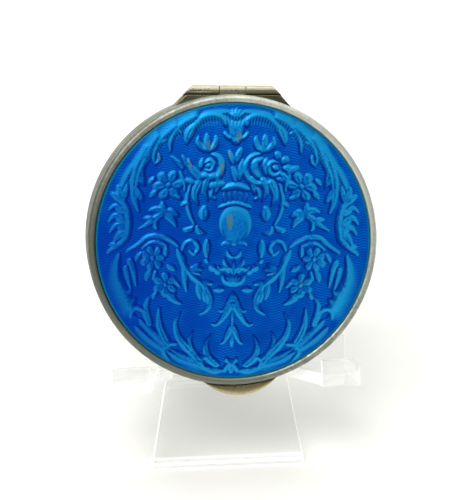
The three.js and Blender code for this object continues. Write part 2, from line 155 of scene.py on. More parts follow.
# A face of the easel is a sawn side where more than this share of its normal points along x
SAWN_FROM = 0.75

# Heights of the lines of light along the easel's feet, in millimetres, and how pale the feet are between them
FOOT_LINES = (0.4, 0.9, 1.3)
FOOT_GLOW = 0.3

# Worn spots of the enamel: x, y, half width and half height in shares of the panel's radius, and depth
WORN_SPOTS = (
    (-0.035, 0.15, 0.03, 0.07, 1.0),
    (-0.1, 0.53, 0.022, 0.06, 0.9),
    (-0.05, 0.63, 0.02, 0.04, 0.8),
    (0.02, 0.76, 0.03, 0.05, 0.8),
    (-0.19, 0.7, 0.05, 0.05, 0.7),
    (-0.33, 0.56, 0.03, 0.05, 0.7),
    (-0.31, 0.76, 0.03, 0.06, 0.6),
    (-0.55, 0.6, 0.02, 0.07, 0.6),
    (0.2, -0.45, 0.03, 0.08, 0.4),
    (0.5, -0.3, 0.04, 0.04, 0.5),
    (0.0, -0.02, 0.02, 0.02, 0.6),
)

# The rib down a leaf: its share of the leaf's width, its depth, and the width from which a leaf has one
RIB_WIDTH = 0.22
RIB_DEPTH = 0.45
RIB_FROM = 0.036

# How far a fading stroke reaches, in half widths, and the power that it falls off by
FADE_REACH = 3
FADE_POWER = 2.5

# The enamel's shader reads the relief's slope, height over radius, times this
SLOPE_SHARE = 0.05

# The waves of the engine-turned lines, each a length and a height in millimetres, and the ticks round the rim
TURNING_WAVES = ((2.1, 0.16), (0.9, 0.05))
RIM_TICKS = 260

# The height of the enamel's fine bumps, in millimetres
ENAMEL_BUMP = 0.03

# The heights above the table, in millimetres, between which the silver goes from darkened to clean: partly
# tarnish, partly painted shade
TARNISH_AND_SHADE_HEIGHTS = (30, 60)


# Placing


def box_matrix():
    """Turns the box about its own axis, leans it back and sets it where the hinge pin of the solids is."""
    turn = Matrix.Rotation(math.pi / 2 - LEAN, 4, "X") @ Matrix.Rotation(BOX_TURN, 4, "Z")
    low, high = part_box("hinge_pin")
    hinge = turn @ Vector((0, HINGE_Y, HINGE_Z)) / 1000
    return Matrix.Translation((low + high) / 2 - hinge) @ turn @ Matrix.Scale(0.001, 4)


def in_frame(points):
    """Points of the lying box, in millimetres, as points of the frame, in metres."""
    matrix = np.array(box_matrix())
    return points @ matrix[:3, :3].T + matrix[:3, 3]


def dressed(mesh, material, body, node):
    """A smooth mesh as a piece in its material, which rides on a body in place of one of the solids."""
    mesh.shade_smooth()
    mesh.materials.append(material)
    piece = bpy.data.objects.new(mesh.name, mesh)
    bpy.context.scene.collection.objects.link(piece)
    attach(piece, body)
    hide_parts(node)
    return piece


def surface(name, points, faces, material, body, node):
    """Such a piece from points in the frame and arrays of the corners of its faces."""
    mesh = bpy.data.meshes.new(name)
    mesh.from_pydata(points.reshape(-1, 3), [], [face for group in faces for face in group.tolist()])
    return dressed(mesh, material, body, node)


def remember(piece, name, values):
    """Keeps a number, or a vector, for each point of a piece, for its material to read."""
    kind, field = ("FLOAT", "value") if values.ndim == 1 else ("FLOAT_VECTOR", "vector")
    attribute = piece.data.attributes.new(name, kind, "POINT")
    attribute.data.foreach_set(field, values.ravel().astype(np.float32))


def grid_faces(rows, columns, start=0):
    """Corners of the four-sided faces between rows of points, where each row closes on itself."""
    row, column = np.meshgrid(np.arange(rows - 1), np.arange(columns), indexing="ij")
    beside = (column + 1) % columns
    a, b = row * columns + column, row * columns + beside
    return start + np.stack([a, b, b + columns, a + columns], -1).reshape(-1, 4)


def cap_faces(rows, columns, start=0):
    """The two faces that close the first and the last row of such a grid."""
    ring = np.arange(columns)
    return start + np.stack([ring[::-1], (rows - 1) * columns + ring])


def rounded_profile(corners):
    """Points along straight runs whose corners are cut by curves.

    Each corner is (radius, height, round). A cut starts and ends that far from its corner and follows a
    parabola between: (1 - t)^2 start + 2 t (1 - t) corner + t^2 end. Runs along the walls get closer points
    than runs that reach in over the plates.
    """
    points = np.array([corner[:2] for corner in corners], float)
    rounds = [corner[2] for corner in corners]
    runs = np.diff(points, axis=0)
    lengths = np.hypot(runs[:, 0], runs[:, 1])
    bows = [points[:1]]
    for i in range(1, len(points) - 1):
        cut = min(rounds[i], LONGEST_CUT * lengths[i - 1], LONGEST_CUT * lengths[i])
        start = points[i] - runs[i - 1] / lengths[i - 1] * cut
        end = points[i] + runs[i] / lengths[i] * cut
        t = np.linspace(0, 1, CORNER_POINTS if cut else 1)[:, None]
        bows.append((1 - t) ** 2 * start + 2 * t * (1 - t) * points[i] + t**2 * end)
    bows.append(points[-1:])
    parts = []
    for bow, after in zip(bows, bows[1:]):
        parts.append(bow)
        step = WALL_STEP if min(bow[-1][0], after[0][0]) >= COLLAR_INNER else PLATE_STEP
        count = int(np.linalg.norm(after[0] - bow[-1]) / step)
        if count:
            parts.append(np.linspace(bow[-1], after[0], count + 1)[1:-1])
    parts.append(bows[-1])
    return np.vstack(parts)


def turned(profile):
    """A profile of (radius, height) carried round z: x = radius cos angle, y = radius sin angle."""
    angle = np.linspace(0, 2 * math.pi, SHELL_SIDES, endpoint=False)
    radius, height = profile[:, :1], profile[:, 1:]
    return np.stack([radius * np.cos(angle), radius * np.sin(angle), height + 0 * angle], -1)


def dented(points, left, right):
    """Points near the hinge line between two x's are pushed straight away from it to the room's radius."""
    out = points.copy()
    y, z = points[..., 1] - HINGE_Y, points[..., 2] - HINGE_Z
    gap = np.hypot(y, z)
    inside = (gap < NOTCH_RADIUS) & (points[..., 0] > left) & (points[..., 0] < right)
    push = np.where(inside, NOTCH_RADIUS / np.maximum(gap, 1e-6), 1)
    out[..., 1] = HINGE_Y + y * push
    out[..., 2] = HINGE_Z + z * push
    return out


def dome_at(share):
    """The dome's height at a share of the panel's radius: a parabola."""
    return PANEL_DOME * (1 - share**2)


def knuckle(left, right, slants=(0, 0)):
    """A knuckle of the hinge: a circle carried along x from its left end to its right end.

    Each end leans by its slant times the drop in y from the knuckle's top: x = end + slant (top - y).
    """
    angle = np.linspace(0, 2 * math.pi, ROD_SIDES, endpoint=False)
    y = HINGE_Y + KNUCKLE_RADIUS * np.cos(angle)
    z = HINGE_Z + KNUCKLE_RADIUS * np.sin(angle)
    drop = HINGE_Y + KNUCKLE_RADIUS - y
    ends = zip((left, right), slants)
    return np.stack([np.stack([end + slant * drop, y, z], -1) for end, slant in ends])


def slab(outline, bottom, top):
    """A flat outline of (x, y) points, run counter-clockwise, drawn out from z = bottom to z = top."""
    rings = [np.column_stack([outline, np.full(len(outline), z)]) for z in (bottom, top)]
    return np.stack(rings)


def packed(grids):
    """Grids of rings as one list of points and one of faces, each grid closed at both ends."""
    points, faces, start = [], [], 0
    for grid in grids:
        rows, columns = grid.shape[:2]
        points.append(grid.reshape(-1, 3))
        faces.append(grid_faces(rows, columns, start))
        faces.append(cap_faces(rows, columns, start))
        start += rows * columns
    return np.vstack(points), faces


def bevelled(piece, width, segments=2):
    """Rounds the piece's sharp edges, in millimetres, and keeps its flat faces flat."""
    bevel = piece.modifiers.new("Rounded edges", "BEVEL")
    bevel.width = width / 1000
    bevel.segments = segments
    bevel.limit_method = "ANGLE"
    bevel.angle_limit = SHARP_ANGLE
    bevel.harden_normals = True
    return piece


# Shaders


# The numbers of the Mix node's sockets for colours
MIX_SHARE, MIX_FIRST, MIX_SECOND, MIX_RESULT = 0, 6, 7, 2


def colour(red, green, blue):
    """A screen colour of 0 to 255 as the linear colour that a shader takes."""
    share = np.array([red, green, blue]) / 255
    linear = np.where(share <= 0.04045, share / 12.92, ((share + 0.055) / 1.055) ** 2.4)
    return (*(float(v) for v in linear), 1.0)


class Value:
    """A shader socket. Arithmetic on it adds Math nodes."""

    def __init__(self, paint, socket):
        self.paint = paint
        self.socket = socket

    def math(self, operation, *operands):
        return self.paint.node("ShaderNodeMath", {"operation": operation}, dict(enumerate(operands)))

    def __add__(self, other):
        return self.math("ADD", self, other)

    def __radd__(self, other):
        return self.math("ADD", other, self)

    def __sub__(self, other):
        return self.math("SUBTRACT", self, other)

    def __rsub__(self, other):
        return self.math("SUBTRACT", other, self)

    def __mul__(self, other):
        return self.math("MULTIPLY", self, other)

    def __rmul__(self, other):
        return self.math("MULTIPLY", other, self)

    def __truediv__(self, other):
        return self.math("DIVIDE", self, other)

    def __rtruediv__(self, other):
        return self.math("DIVIDE", other, self)

    def __pow__(self, other):
        return self.math("POWER", self, other)

    def sine(self):
        return self.math("SINE", self)

    def ramp(self, low, high):
        """0 below low, 1 above high and smooth between."""
        return self.paint.node(
            "ShaderNodeMapRange",
            {"interpolation_type": "SMOOTHSTEP"},
            {"Value": self, "From Min": low, "From Max": high, "To Min": 0.0, "To Max": 1.0},
        )


class Paint:
    """A material that is being built from nodes."""

    def __init__(self, name):
        self.material = bpy.data.materials.new(name)
        self.material.use_nodes = True
        self.tree = self.material.node_tree
        self.tree.nodes.clear()

    def node(self, kind, settings=None, sockets=None, output=0):
        """Adds a node, sets it, fills its sockets with values or links, and gives one of its outputs."""
        node = self.tree.nodes.new(kind)
        for key, value in (settings or {}).items():
            setattr(node, key, value)
        for key, value in (sockets or {}).items():
            socket = node.inputs[key]
            if isinstance(value, Value):
                self.tree.links.new(value.socket, socket)
            else:
                socket.default_value = value
        return Value(self, node.outputs[output]) if node.outputs else None

    def place(self):
        """The point's place in millimetres."""
        metres = self.node("ShaderNodeTexCoord", output="Object")
        return self.node(
            "ShaderNodeVectorMath",
            {"operation": "SCALE"},
            {"Vector": metres, "Scale": 1000.0},
        )

    def attribute(self, name, output="Fac"):
        """What the mesh keeps under a name: a number, or a vector where the output is Vector."""
        return self.node("ShaderNodeAttribute", {"attribute_name": name}, {}, output)

    def noise(self, place, scale, detail, roughness):
        """Smooth noise between 0 and 1, about its scale's number of lumps to the millimetre."""
        return self.node(
            "ShaderNodeTexNoise",
            {},
            {"Vector": place, "Scale": scale, "Detail": detail, "Roughness": roughness},
            "Fac",
        )

    def mix(self, share, first, second):
        """From the first colour to the second."""
        return self.node(
            "ShaderNodeMix",
            {"data_type": "RGBA", "clamp_factor": True},
            {MIX_SHARE: share, MIX_FIRST: first, MIX_SECOND: second},
            MIX_RESULT,
        )

    def parts(self, vector):
        """The three numbers of a vector."""
        first = self.node("ShaderNodeSeparateXYZ", {}, {"Vector": vector})
        node = first.socket.node
        return [Value(self, output) for output in node.outputs]

    def bump(self, height, distance, strength):
        """A normal from a height, in shares of a distance in millimetres."""
        return self.node(
            "ShaderNodeBump",
            {},
            {"Strength": strength, "Distance": distance / 1000, "Height": height},
            "Normal",
        )

    def shader(self, **sockets):
        """A glossy, metal or clear surface."""
        names = {key.replace("_", " "): value for key, value in sockets.items()}
        return self.node("ShaderNodeBsdfPrincipled", {}, names)

    def end(self, shader):
        self.node("ShaderNodeOutputMaterial", {}, {"Surface": shader})
        return self.material

    def finish(self, **sockets):
        """Ends the material in one such surface."""
        return self.end(self.shader(**sockets))


# Relief. Strokes are drawn in shares of the panel's radius, most of them on the right half and mirrored.


def flipped(stroke):
    """The stroke on the other side of the ornament's middle line."""
    return {**stroke, "line": stroke["line"] * np.array([-1.0, 1.0])}


def mirrored(strokes):
    """Strokes drawn on the right half, and their mirror images."""
    return [*strokes, *(flipped(s) for s in strokes)]


def curve(points, steps=8):
    """A Catmull-Rom curve through a few chosen points."""
    p = np.array(points, float)
    p = np.vstack([2 * p[0] - p[1], p, 2 * p[-1] - p[-2]])
    t = np.linspace(0, 1, steps + 1)[:-1, None]
    spans = [
        0.5 * (2 * b + (c - a) * t + (2 * a - 5 * b + 4 * c - d) * t**2 + (3 * b - a - 3 * c + d) * t**3)
        for a, b, c, d in zip(p, p[1:], p[2:], p[3:])
    ]
    return np.vstack([*spans, p[-2]])


def stroke(line, width, shares, height=1.0, rib=False, fade=False):
    """A raised line. The shares are its width along the way, as shares of the full width."""
    return {"line": line, "width": width, "shares": shares, "height": height, "rib": rib, "fade": fade}


def leaf(root, tip, width, bow=0.0, height=1.0):
    """A leaf along a parabola from root to tip, bowed to its left by a share of its length.

    Its width follows the power 0.8 of a sine, widest two fifths of the way along. A broad leaf has a rib.
    """
    root, tip = np.array(root, float), np.array(tip, float)
    run = tip - root
    left = np.array([-run[1], run[0]])
    t = np.linspace(0, 1, 16)[:, None]
    line = root + run * t + left * 4 * bow * t * (1 - t)
    shares = np.sin(np.pi * (0.17 + 0.83 * t[:, 0])) ** 0.8
    return stroke(line, width, shares, height, rib=width >= RIB_FROM)


def blade(points, width, height=1.0, fade=False):
    """A leaf that curves from its tip, through a few chosen points, to its broad root."""
    line = curve(points)
    t = np.linspace(0, 1, len(line))
    return stroke(line, width, np.minimum(1, 0.12 + 1.2 * t**0.8), height, not fade, fade)


def stem(points, width, height=1.0):
    """A stem through a few chosen points, thinner toward both ends."""
    line = curve(points)
    t = np.linspace(0, 1, len(line))
    return stroke(line, width, 0.3 + 0.7 * np.sin(np.pi * t) ** 0.5, height)


def petal(middle, angle, near, far, width, height=1.0):
    """A round petal that points away from a flower's middle."""
    turn = math.radians(angle)
    way = np.array([math.cos(turn), math.sin(turn)])
    t = np.linspace(0, 1, 6)
    line = np.array(middle) + way * (near + (far - near) * t)[:, None]
    return stroke(line, width, 0.6 + 0.4 * np.sin(np.pi * (0.1 + 0.6 * t)), height, rib=True)


def boss(x, y, half_width, half_height=None, height=1.0):
    """A round or oval button."""
    half = (half_width, half_height or half_width)
    return {"line": np.array([[x, y]], float), "half": half, "height": height}


def fan(root, heading, spread, count, length, width):
    """Leaves that spread from one root, evenly about a heading in degrees."""
    turns = np.radians(heading + spread * np.linspace(-0.5, 0.5, count))
    ways = np.column_stack([np.cos(turns), np.sin(turns)])
    return [leaf(root, np.array(root) + length * way, width) for way in ways]


def flower(x, y, radius, petals, first):
    """A flower of equal petals about a small button, the first petal at an angle in degrees."""
    turns = first + np.arange(petals) * 360 / petals
    parts = [petal((x, y), a, radius * 0.42, radius * 0.75, radius * 4.2 / petals, 0.85) for a in turns]
    return [*parts, boss(x, y, radius * 0.24, height=0.8)]


def rim_band(from_angle, to_angle, from_radius, to_radius, width):
    """A band along the rim between two angles, its distance from the middle changing evenly."""
    a = np.radians(np.linspace(from_angle, to_angle, 9))
    r = np.linspace(from_radius, to_radius, 9)
    line = curve(np.stack([r * np.cos(a), r * np.sin(a)], 1), 3)
    t = np.linspace(0, 1, len(line))
    return stroke(line, width, 0.35 + 0.65 * np.sin(np.pi * t) ** 0.4, 0.62, fade=True)


def top_palmette():
    """The drop of ribs under a small crown at the top of the panel."""
    return [
        *[leaf((x * 0.3, 0.715), (x, 0.885), 0.038) for x in (-0.058, -0.03, 0, 0.03, 0.058)],
        boss(0, 0.73, 0.036, 0.03),
        *fan((0, 0.89), 90, 110, 5, 0.07, 0.034),
        *mirrored([leaf((0.03, 0.745), (0.085, 0.795), 0.03, -0.2)]),
    ]


def upper_scrolls():
    """Scrolls that run down along the rim from the palmette, with broad leaves that fade toward the rim."""
    return mirrored([
        stem([(0.075, 0.83), (0.088, 0.88), (0.14, 0.908), (0.22, 0.9), (0.285, 0.85), (0.325, 0.78)], 0.062),
        leaf((0.295, 0.84), (0.355, 0.69), 0.066, 0.1),
        rim_band(87, 58, 0.935, 0.93, 0.045),
        rim_band(60, 36, 0.93, 0.915, 0.045),
        rim_band(38, 24, 0.915, 0.9, 0.04),
        blade([(0.47, 0.64), (0.465, 0.74), (0.4, 0.84), (0.3, 0.9)], 0.07, fade=True),
        blade([(0.575, 0.545), (0.59, 0.62), (0.545, 0.73), (0.44, 0.83)], 0.075, fade=True),
        stem([(0.575, 0.55), (0.55, 0.59), (0.56, 0.63)], 0.026),
        blade([(0.655, 0.42), (0.675, 0.52), (0.645, 0.63), (0.57, 0.75)], 0.07, fade=True),
        blade([(0.69, 0.21), (0.72, 0.3), (0.725, 0.4), (0.7, 0.52), (0.63, 0.66)], 0.095),
        leaf((0.72, 0.38), (0.66, 0.28), 0.055),
        leaf((0.71, 0.47), (0.65, 0.39), 0.04),
        leaf((0.55, 0.7), (0.49, 0.73), 0.03),
        leaf((0.42, 0.8), (0.385, 0.77), 0.03),
    ])


def side_scrolls():
    """A large C-scroll at each side, open toward the rim, with leaves hooked inside it."""
    return mirrored([
        stem(
            [(0.865, 0.31), (0.795, 0.265), (0.768, 0.18), (0.768, 0.08), (0.795, 0.0), (0.905, -0.09)],
            0.056,
        ),
        blade([(0.905, 0.215), (0.86, 0.245), (0.8, 0.21)], 0.05),
        blade([(0.905, 0.13), (0.855, 0.175), (0.785, 0.13)], 0.062),
        blade([(0.895, 0.055), (0.845, 0.105), (0.78, 0.07)], 0.055),
        blade([(0.865, -0.02), (0.825, 0.035), (0.785, 0.05)], 0.06),
        leaf((0.81, 0.29), (0.845, 0.4), 0.055),
        leaf((0.8, 0.29), (0.775, 0.42), 0.045),
        leaf((0.83, 0.3), (0.895, 0.345), 0.04),
        leaf((0.84, -0.045), (0.9, -0.04), 0.03, 0.2),
    ])


def tulip(x, y, size):
    """A cup of three pointed petals over a small calyx."""
    return [
        leaf((x, y), (x + 0.1 * size, y + 0.95 * size), 0.4 * size),
        leaf((x - 0.06 * size, y), (x - 0.38 * size, y + 0.85 * size), 0.34 * size, 0.22),
        leaf((x + 0.08 * size, y), (x + 0.55 * size, y + 0.8 * size), 0.34 * size, -0.22),
        leaf((x - 0.1 * size, y - 0.05 * size), (x - 0.42 * size, y + 0.1 * size), 0.16 * size, -0.2),
        leaf((x + 0.1 * size, y - 0.05 * size), (x + 0.45 * size, y + 0.1 * size), 0.16 * size, 0.2),
    ]


def sprays():
    """Leaves, stems and open flowers that stand alike on both sides of the urn."""
    return mirrored([
        *tulip(0.2, 0.655, 0.13),
        *flower(0.48, 0.4, 0.105, 6, 54),
        leaf((0.43, 0.33), (0.385, 0.3), 0.035),
        leaf((0.57, 0.36), (0.61, 0.31), 0.04),
        leaf((0.59, 0.45), (0.62, 0.41), 0.035),
        leaf((0.51, 0.205), (0.4, 0.175), 0.066, -0.12),
        leaf((0.51, 0.2), (0.525, 0.285), 0.055),
        leaf((0.51, 0.21), (0.62, 0.215), 0.05, 0.12),
        blade([(0.69, 0.08), (0.62, 0.12), (0.53, 0.19)], 0.05),
        leaf((0.5, 0.18), (0.42, 0.1), 0.045, -0.15),
        leaf((0.58, 0.16), (0.655, 0.165), 0.034),
        leaf((0.56, 0.15), (0.55, 0.08), 0.035, 0.2),
        blade([(0.265, 0.26), (0.29, 0.34), (0.26, 0.42)], 0.06),
        blade([(0.195, 0.29), (0.225, 0.37), (0.2, 0.44)], 0.05),
        leaf((0.12, 0.46), (0.14, 0.34), 0.05),
        stem([(0.32, 0.42), (0.345, 0.3), (0.325, 0.2), (0.285, 0.12)], 0.026),
        leaf((0.33, 0.27), (0.385, 0.25), 0.035, 0.2),
        leaf((0.22, 0.235), (0.22, 0.145), 0.075),
        leaf((0.27, 0.1), (0.2, 0.06), 0.04, 0.2),
        leaf((0.3, 0.1), (0.37, 0.09), 0.04, -0.2),
        stem([(0.4, 0.5), (0.37, 0.43), (0.36, 0.36)], 0.024),
        stem([(0.14, 0.3), (0.17, 0.33), (0.16, 0.39)], 0.026),
    ])


def rose():
    """The open rose at the right of the urn: two curved petals beside a whorl."""
    turns = np.radians(np.linspace(70, 330, 8))
    whorl = [(0.285 + 0.05 * math.cos(a), 0.53 + 0.05 * math.sin(a)) for a in turns]
    return [
        stem([(0.19, 0.64), (0.11, 0.61), (0.068, 0.53), (0.09, 0.455), (0.16, 0.42), (0.26, 0.43)], 0.04),
        stem([(0.19, 0.6), (0.145, 0.57), (0.135, 0.51), (0.17, 0.465)], 0.062),
        stem([(0.225, 0.6), (0.205, 0.54), (0.225, 0.48)], 0.036),
        stem(whorl, 0.034),
        boss(0.287, 0.532, 0.022),
        *[petal((0.285, 0.53), a, 0.075, 0.1, 0.052) for a in (80, 40, 0, -40)],
        leaf((0.38, 0.5), (0.46, 0.545), 0.05),
        leaf((0.3, 0.455), (0.38, 0.44), 0.036),
    ]


def budding_leaves():
    """The slanted bud and the smaller rose at the left of the urn."""
    return [
        blade([(-0.385, 0.615), (-0.335, 0.54), (-0.265, 0.465)], 0.062),
        leaf((-0.3, 0.48), (-0.345, 0.6), 0.03),
        blade([(-0.47, 0.61), (-0.43, 0.58), (-0.385, 0.53)], 0.035),
        stem([(-0.17, 0.63), (-0.115, 0.59), (-0.1, 0.52), (-0.14, 0.44)], 0.056),
        stem([(-0.22, 0.565), (-0.185, 0.585), (-0.16, 0.55), (-0.18, 0.51), (-0.215, 0.515)], 0.034),
        boss(-0.195, 0.545, 0.02),
        boss(-0.165, 0.465, 0.04, 0.03),
        boss(-0.11, 0.41, 0.036, 0.028),
        boss(-0.165, 0.4, 0.034, 0.03),
        boss(-0.22, 0.47, 0.034, 0.026),
        leaf((-0.25, 0.53), (-0.24, 0.6), 0.036),
        leaf((-0.3, 0.42), (-0.38, 0.445), 0.04),
    ]


def centre_sprig():
    """Upright leaves over the urn, between the two roses."""
    return [
        leaf((0, 0.43), (-0.025, 0.56), 0.045),
        leaf((0.03, 0.45), (0.05, 0.6), 0.045),
        leaf((0.01, 0.58), (0.04, 0.68), 0.05),
        leaf((-0.02, 0.56), (-0.05, 0.66), 0.04),
        leaf((0.06, 0.5), (0.09, 0.57), 0.03),
    ]


def urn():
    """A tall belly on a small foot, with a low fluted neck and a curved lip."""
    return [
        stem([(-0.1, 0.375), (0, 0.402), (0.1, 0.375)], 0.05),
        *[leaf((x, 0.27), (x * 1.15, 0.385), 0.034, height=0.5) for x in (-0.068, -0.034, 0, 0.034, 0.068)],
        stem([(-0.115, 0.245), (0, 0.276), (0.115, 0.245)], 0.034, 0.8),
        boss(0.005, 0.125, 0.113, 0.138, 1.1),
        leaf((-0.05, 0.02), (0.05, 0.02), 0.032),
        boss(0, -0.01, 0.022),
        *mirrored([leaf((0.03, -0.015), (0.09, -0.03), 0.028, 0.2)]),
    ]


def middle_arcs():
    """An arched stem below each C-scroll, with two flowers and leaves under it."""
    return mirrored([
        stem([(0.4, -0.035), (0.46, 0.01), (0.53, 0.035), (0.62, 0.025), (0.69, -0.03), (0.77, -0.08)], 0.04),
        stem([(0.48, -0.03), (0.54, -0.01), (0.6, -0.015), (0.66, -0.055)], 0.028),
        leaf((0.49, -0.05), (0.49, -0.12), 0.035),
        *flower(0.585, -0.125, 0.09, 7, 75),
        *flower(0.49, -0.315, 0.085, 6, 90),
        leaf((0.67, -0.09), (0.71, -0.15), 0.034),
        leaf((0.47, -0.18), (0.415, -0.21), 0.04),
        leaf((0.6, -0.22), (0.63, -0.29), 0.045),
        leaf((0.56, -0.22), (0.58, -0.28), 0.03),
        blade([(0.7, -0.33), (0.715, -0.25), (0.745, -0.15)], 0.045),
        blade([(0.735, -0.36), (0.755, -0.29), (0.775, -0.2)], 0.035),
        blade([(0.37, -0.455), (0.42, -0.43), (0.46, -0.39)], 0.045),
        leaf((0.46, -0.42), (0.41, -0.375), 0.03),
        leaf((0.55, -0.37), (0.585, -0.42), 0.03),
        leaf((0.42, -0.29), (0.385, -0.33), 0.03),
    ])


def inner_volutes():
    """Stems that run down and inward from a spiral, with leaves along them."""
    return mirrored([
        stem(
            [(0.32, -0.07), (0.285, -0.09), (0.255, -0.05), (0.285, 0.0), (0.345, -0.01), (0.375, -0.07)],
            0.028,
        ),
        leaf((0.355, -0.16), (0.41, -0.055), 0.05),
        stem([(0.4, -0.08), (0.355, -0.18), (0.31, -0.24), (0.24, -0.3), (0.19, -0.355)], 0.042),
        blade([(0.235, -0.53), (0.185, -0.49), (0.165, -0.42), (0.205, -0.33)], 0.055),
        blade([(0.335, -0.365), (0.345, -0.29), (0.35, -0.19)], 0.046),
        leaf((0.315, -0.21), (0.235, -0.155), 0.036),
        leaf((0.315, -0.215), (0.215, -0.195), 0.036),
        leaf((0.31, -0.225), (0.235, -0.235), 0.03),
        leaf((0.235, -0.3), (0.145, -0.305), 0.04),
        leaf((0.25, -0.31), (0.235, -0.42), 0.046),
        leaf((0.21, -0.34), (0.2, -0.44), 0.036),
        leaf((0.194, 0.0), (0.194, -0.12), 0.05),
        boss(0.194, -0.14, 0.014),
    ])


def shell():
    """The bowl of a shell with a sprig above it, between two curls."""
    return [
        *fan((0, -0.3), 90, 150, 7, 0.07, 0.032),
        leaf((0, -0.24), (0, -0.13), 0.038),
        *mirrored([
            stem([(0.075, -0.24), (0.06, -0.285), (0.0, -0.315)], 0.03),
            stem([(0.03, -0.22), (0.06, -0.19), (0.1, -0.2), (0.11, -0.175)], 0.026),
            boss(0.15, -0.19, 0.026, 0.022),
            boss(0.115, -0.215, 0.02),
            leaf((0.075, -0.345), (0.14, -0.35), 0.036),
            leaf((0.012, -0.2), (0.065, -0.115), 0.034, -0.2),
            leaf((0.01, -0.11), (0.045, -0.055), 0.026, -0.2),
        ]),
    ]


def husk_pendant():
    """Pairs of drooping leaves along one stem."""
    return [
        leaf((0, -0.44), (0, -0.36), 0.04),
        stem([(0, -0.44), (0, -0.55), (0, -0.68)], 0.026),
        *mirrored([
            blade([(0.1, -0.5), (0.075, -0.505), (0.045, -0.47), (0.012, -0.4)], 0.036),
            blade([(0.15, -0.6), (0.118, -0.605), (0.075, -0.56), (0.015, -0.46)], 0.046),
            blade([(0.078, -0.745), (0.055, -0.725), (0.012, -0.63)], 0.042),
            leaf((0.03, -0.9), (0.05, -0.955), 0.034),
            leaf((0.02, -0.89), (0.04, -0.845), 0.03),
        ]),
        leaf((0, -0.67), (0, -0.77), 0.032),
        boss(0, -0.895, 0.034, 0.03),
        leaf((0, -0.89), (0, -0.965), 0.036),
    ]


def lower_scrolls():
    """Leaves and small scrolls that sweep along the rim to the bottom of the panel."""
    return mirrored([
        blade([(0.825, -0.1), (0.845, -0.2), (0.83, -0.32), (0.745, -0.49)], 0.11, fade=True),
        leaf((0.8, -0.39), (0.725, -0.35), 0.05, 0.1),
        leaf((0.77, -0.46), (0.7, -0.41), 0.045, 0.1),
        stem([(0.735, -0.56), (0.72, -0.505), (0.68, -0.49), (0.64, -0.515)], 0.034),
        blade([(0.575, -0.385), (0.615, -0.44), (0.625, -0.51), (0.6, -0.6)], 0.05),
        blade([(0.53, -0.485), (0.53, -0.57), (0.515, -0.65), (0.47, -0.74)], 0.06),
        blade([(0.67, -0.57), (0.61, -0.64), (0.54, -0.71), (0.48, -0.77)], 0.1, 0.7, fade=True),
        blade([(0.378, -0.515), (0.41, -0.6), (0.385, -0.7), (0.31, -0.79), (0.225, -0.88)], 0.062),
        stem([(0.45, -0.87), (0.49, -0.81), (0.462, -0.76), (0.4, -0.745)], 0.036),
        blade([(0.44, -0.79), (0.38, -0.83), (0.3, -0.87), (0.24, -0.9)], 0.09, 0.7, fade=True),
        blade([(0.283, -0.655), (0.305, -0.71), (0.295, -0.78), (0.25, -0.85)], 0.048),
        stem([(0.19, -0.93), (0.215, -0.885), (0.2, -0.85), (0.165, -0.86)], 0.032),
        blade([(0.155, -0.68), (0.185, -0.75), (0.17, -0.84), (0.11, -0.9)], 0.055),
        rim_band(-42, -66, 0.935, 0.935, 0.045),
        rim_band(-64, -86, 0.94, 0.945, 0.045),
        leaf((0.15, -0.945), (0.06, -0.94), 0.045),
    ])


def ornament():
    """Every stroke of the relief, in shares of the panel's radius."""
    return [
        *top_palmette(),
        *upper_scrolls(),
        *side_scrolls(),
        *sprays(),
        *rose(),
        *budding_leaves(),
        *centre_sprig(),
        *urn(),
        *middle_arcs(),
        *inner_volutes(),
        *shell(),
        *husk_pendant(),
        *lower_scrolls(),
    ]


def stroke_height(stroke, x, y):
    """Height of one stroke at the points.

    Across its width the stroke is a rounded hump, (1 - across^2)^0.75, and a button is half an ellipsoid,
    (1 - across^2)^0.5. A rib is a groove down the stroke's middle. A stroke that fades falls off slowly, over
    three times its width, on the side toward the rim. Where a stroke is narrow it is lower too.
    """
    line = stroke["line"]
    if len(line) == 1:
        half_x, half_y = stroke["half"]
        across = np.hypot((x - line[0, 0]) / half_x, (y - line[0, 1]) / half_y)
        return stroke["height"] * np.clip(1 - across**2, 0, 1) ** 0.5
    start, run = line[:-1], np.diff(line, axis=0)
    length = np.hypot(run[:, 0], run[:, 1])
    dx, dy = x[:, None] - start[:, 0], y[:, None] - start[:, 1]
    along = np.clip((dx * run[:, 0] + dy * run[:, 1]) / length**2, 0, 1)
    off_x, off_y = dx - along * run[:, 0], dy - along * run[:, 1]
    nearest = np.hypot(off_x, off_y).argmin(1)
    row = np.arange(len(x))
    off_x, off_y = off_x[row, nearest], off_y[row, nearest]
    gap = np.hypot(off_x, off_y)
    travelled = np.concatenate([[0], np.cumsum(length)])
    t = (travelled[nearest] + along[row, nearest] * length[nearest]) / travelled[-1]
    share = np.interp(t, np.linspace(0, 1, len(line)), stroke["shares"])
    across = gap / np.maximum(stroke["width"] / 2 * share, 1e-4)
    hump = np.clip(1 - across**2, 0, 1) ** 0.75
    if stroke["rib"]:
        hump = hump * (1 - RIB_DEPTH * np.exp(-((across / RIB_WIDTH) ** 2)))
    if stroke["fade"]:
        slow = np.clip(1 - across / FADE_REACH, 0, 1) ** FADE_POWER
        hump = np.where(off_x * x + off_y * y > 0, slow, hump)
    return stroke["height"] * hump * (0.6 + 0.4 * share)


def relief_height(x, y):
    """The highest stroke at each point."""
    height = np.zeros_like(x)
    for each in ornament():
        reach = FADE_REACH / 2 * each["width"] if "width" in each else max(each["half"])
        low, high = each["line"].min(0) - reach, each["line"].max(0) + reach
        near = (x > low[0]) & (x < high[0]) & (y > low[1]) & (y < high[1])
        if near.any():
            height[near] = np.maximum(height[near], stroke_height(each, x[near], y[near]))
    return height
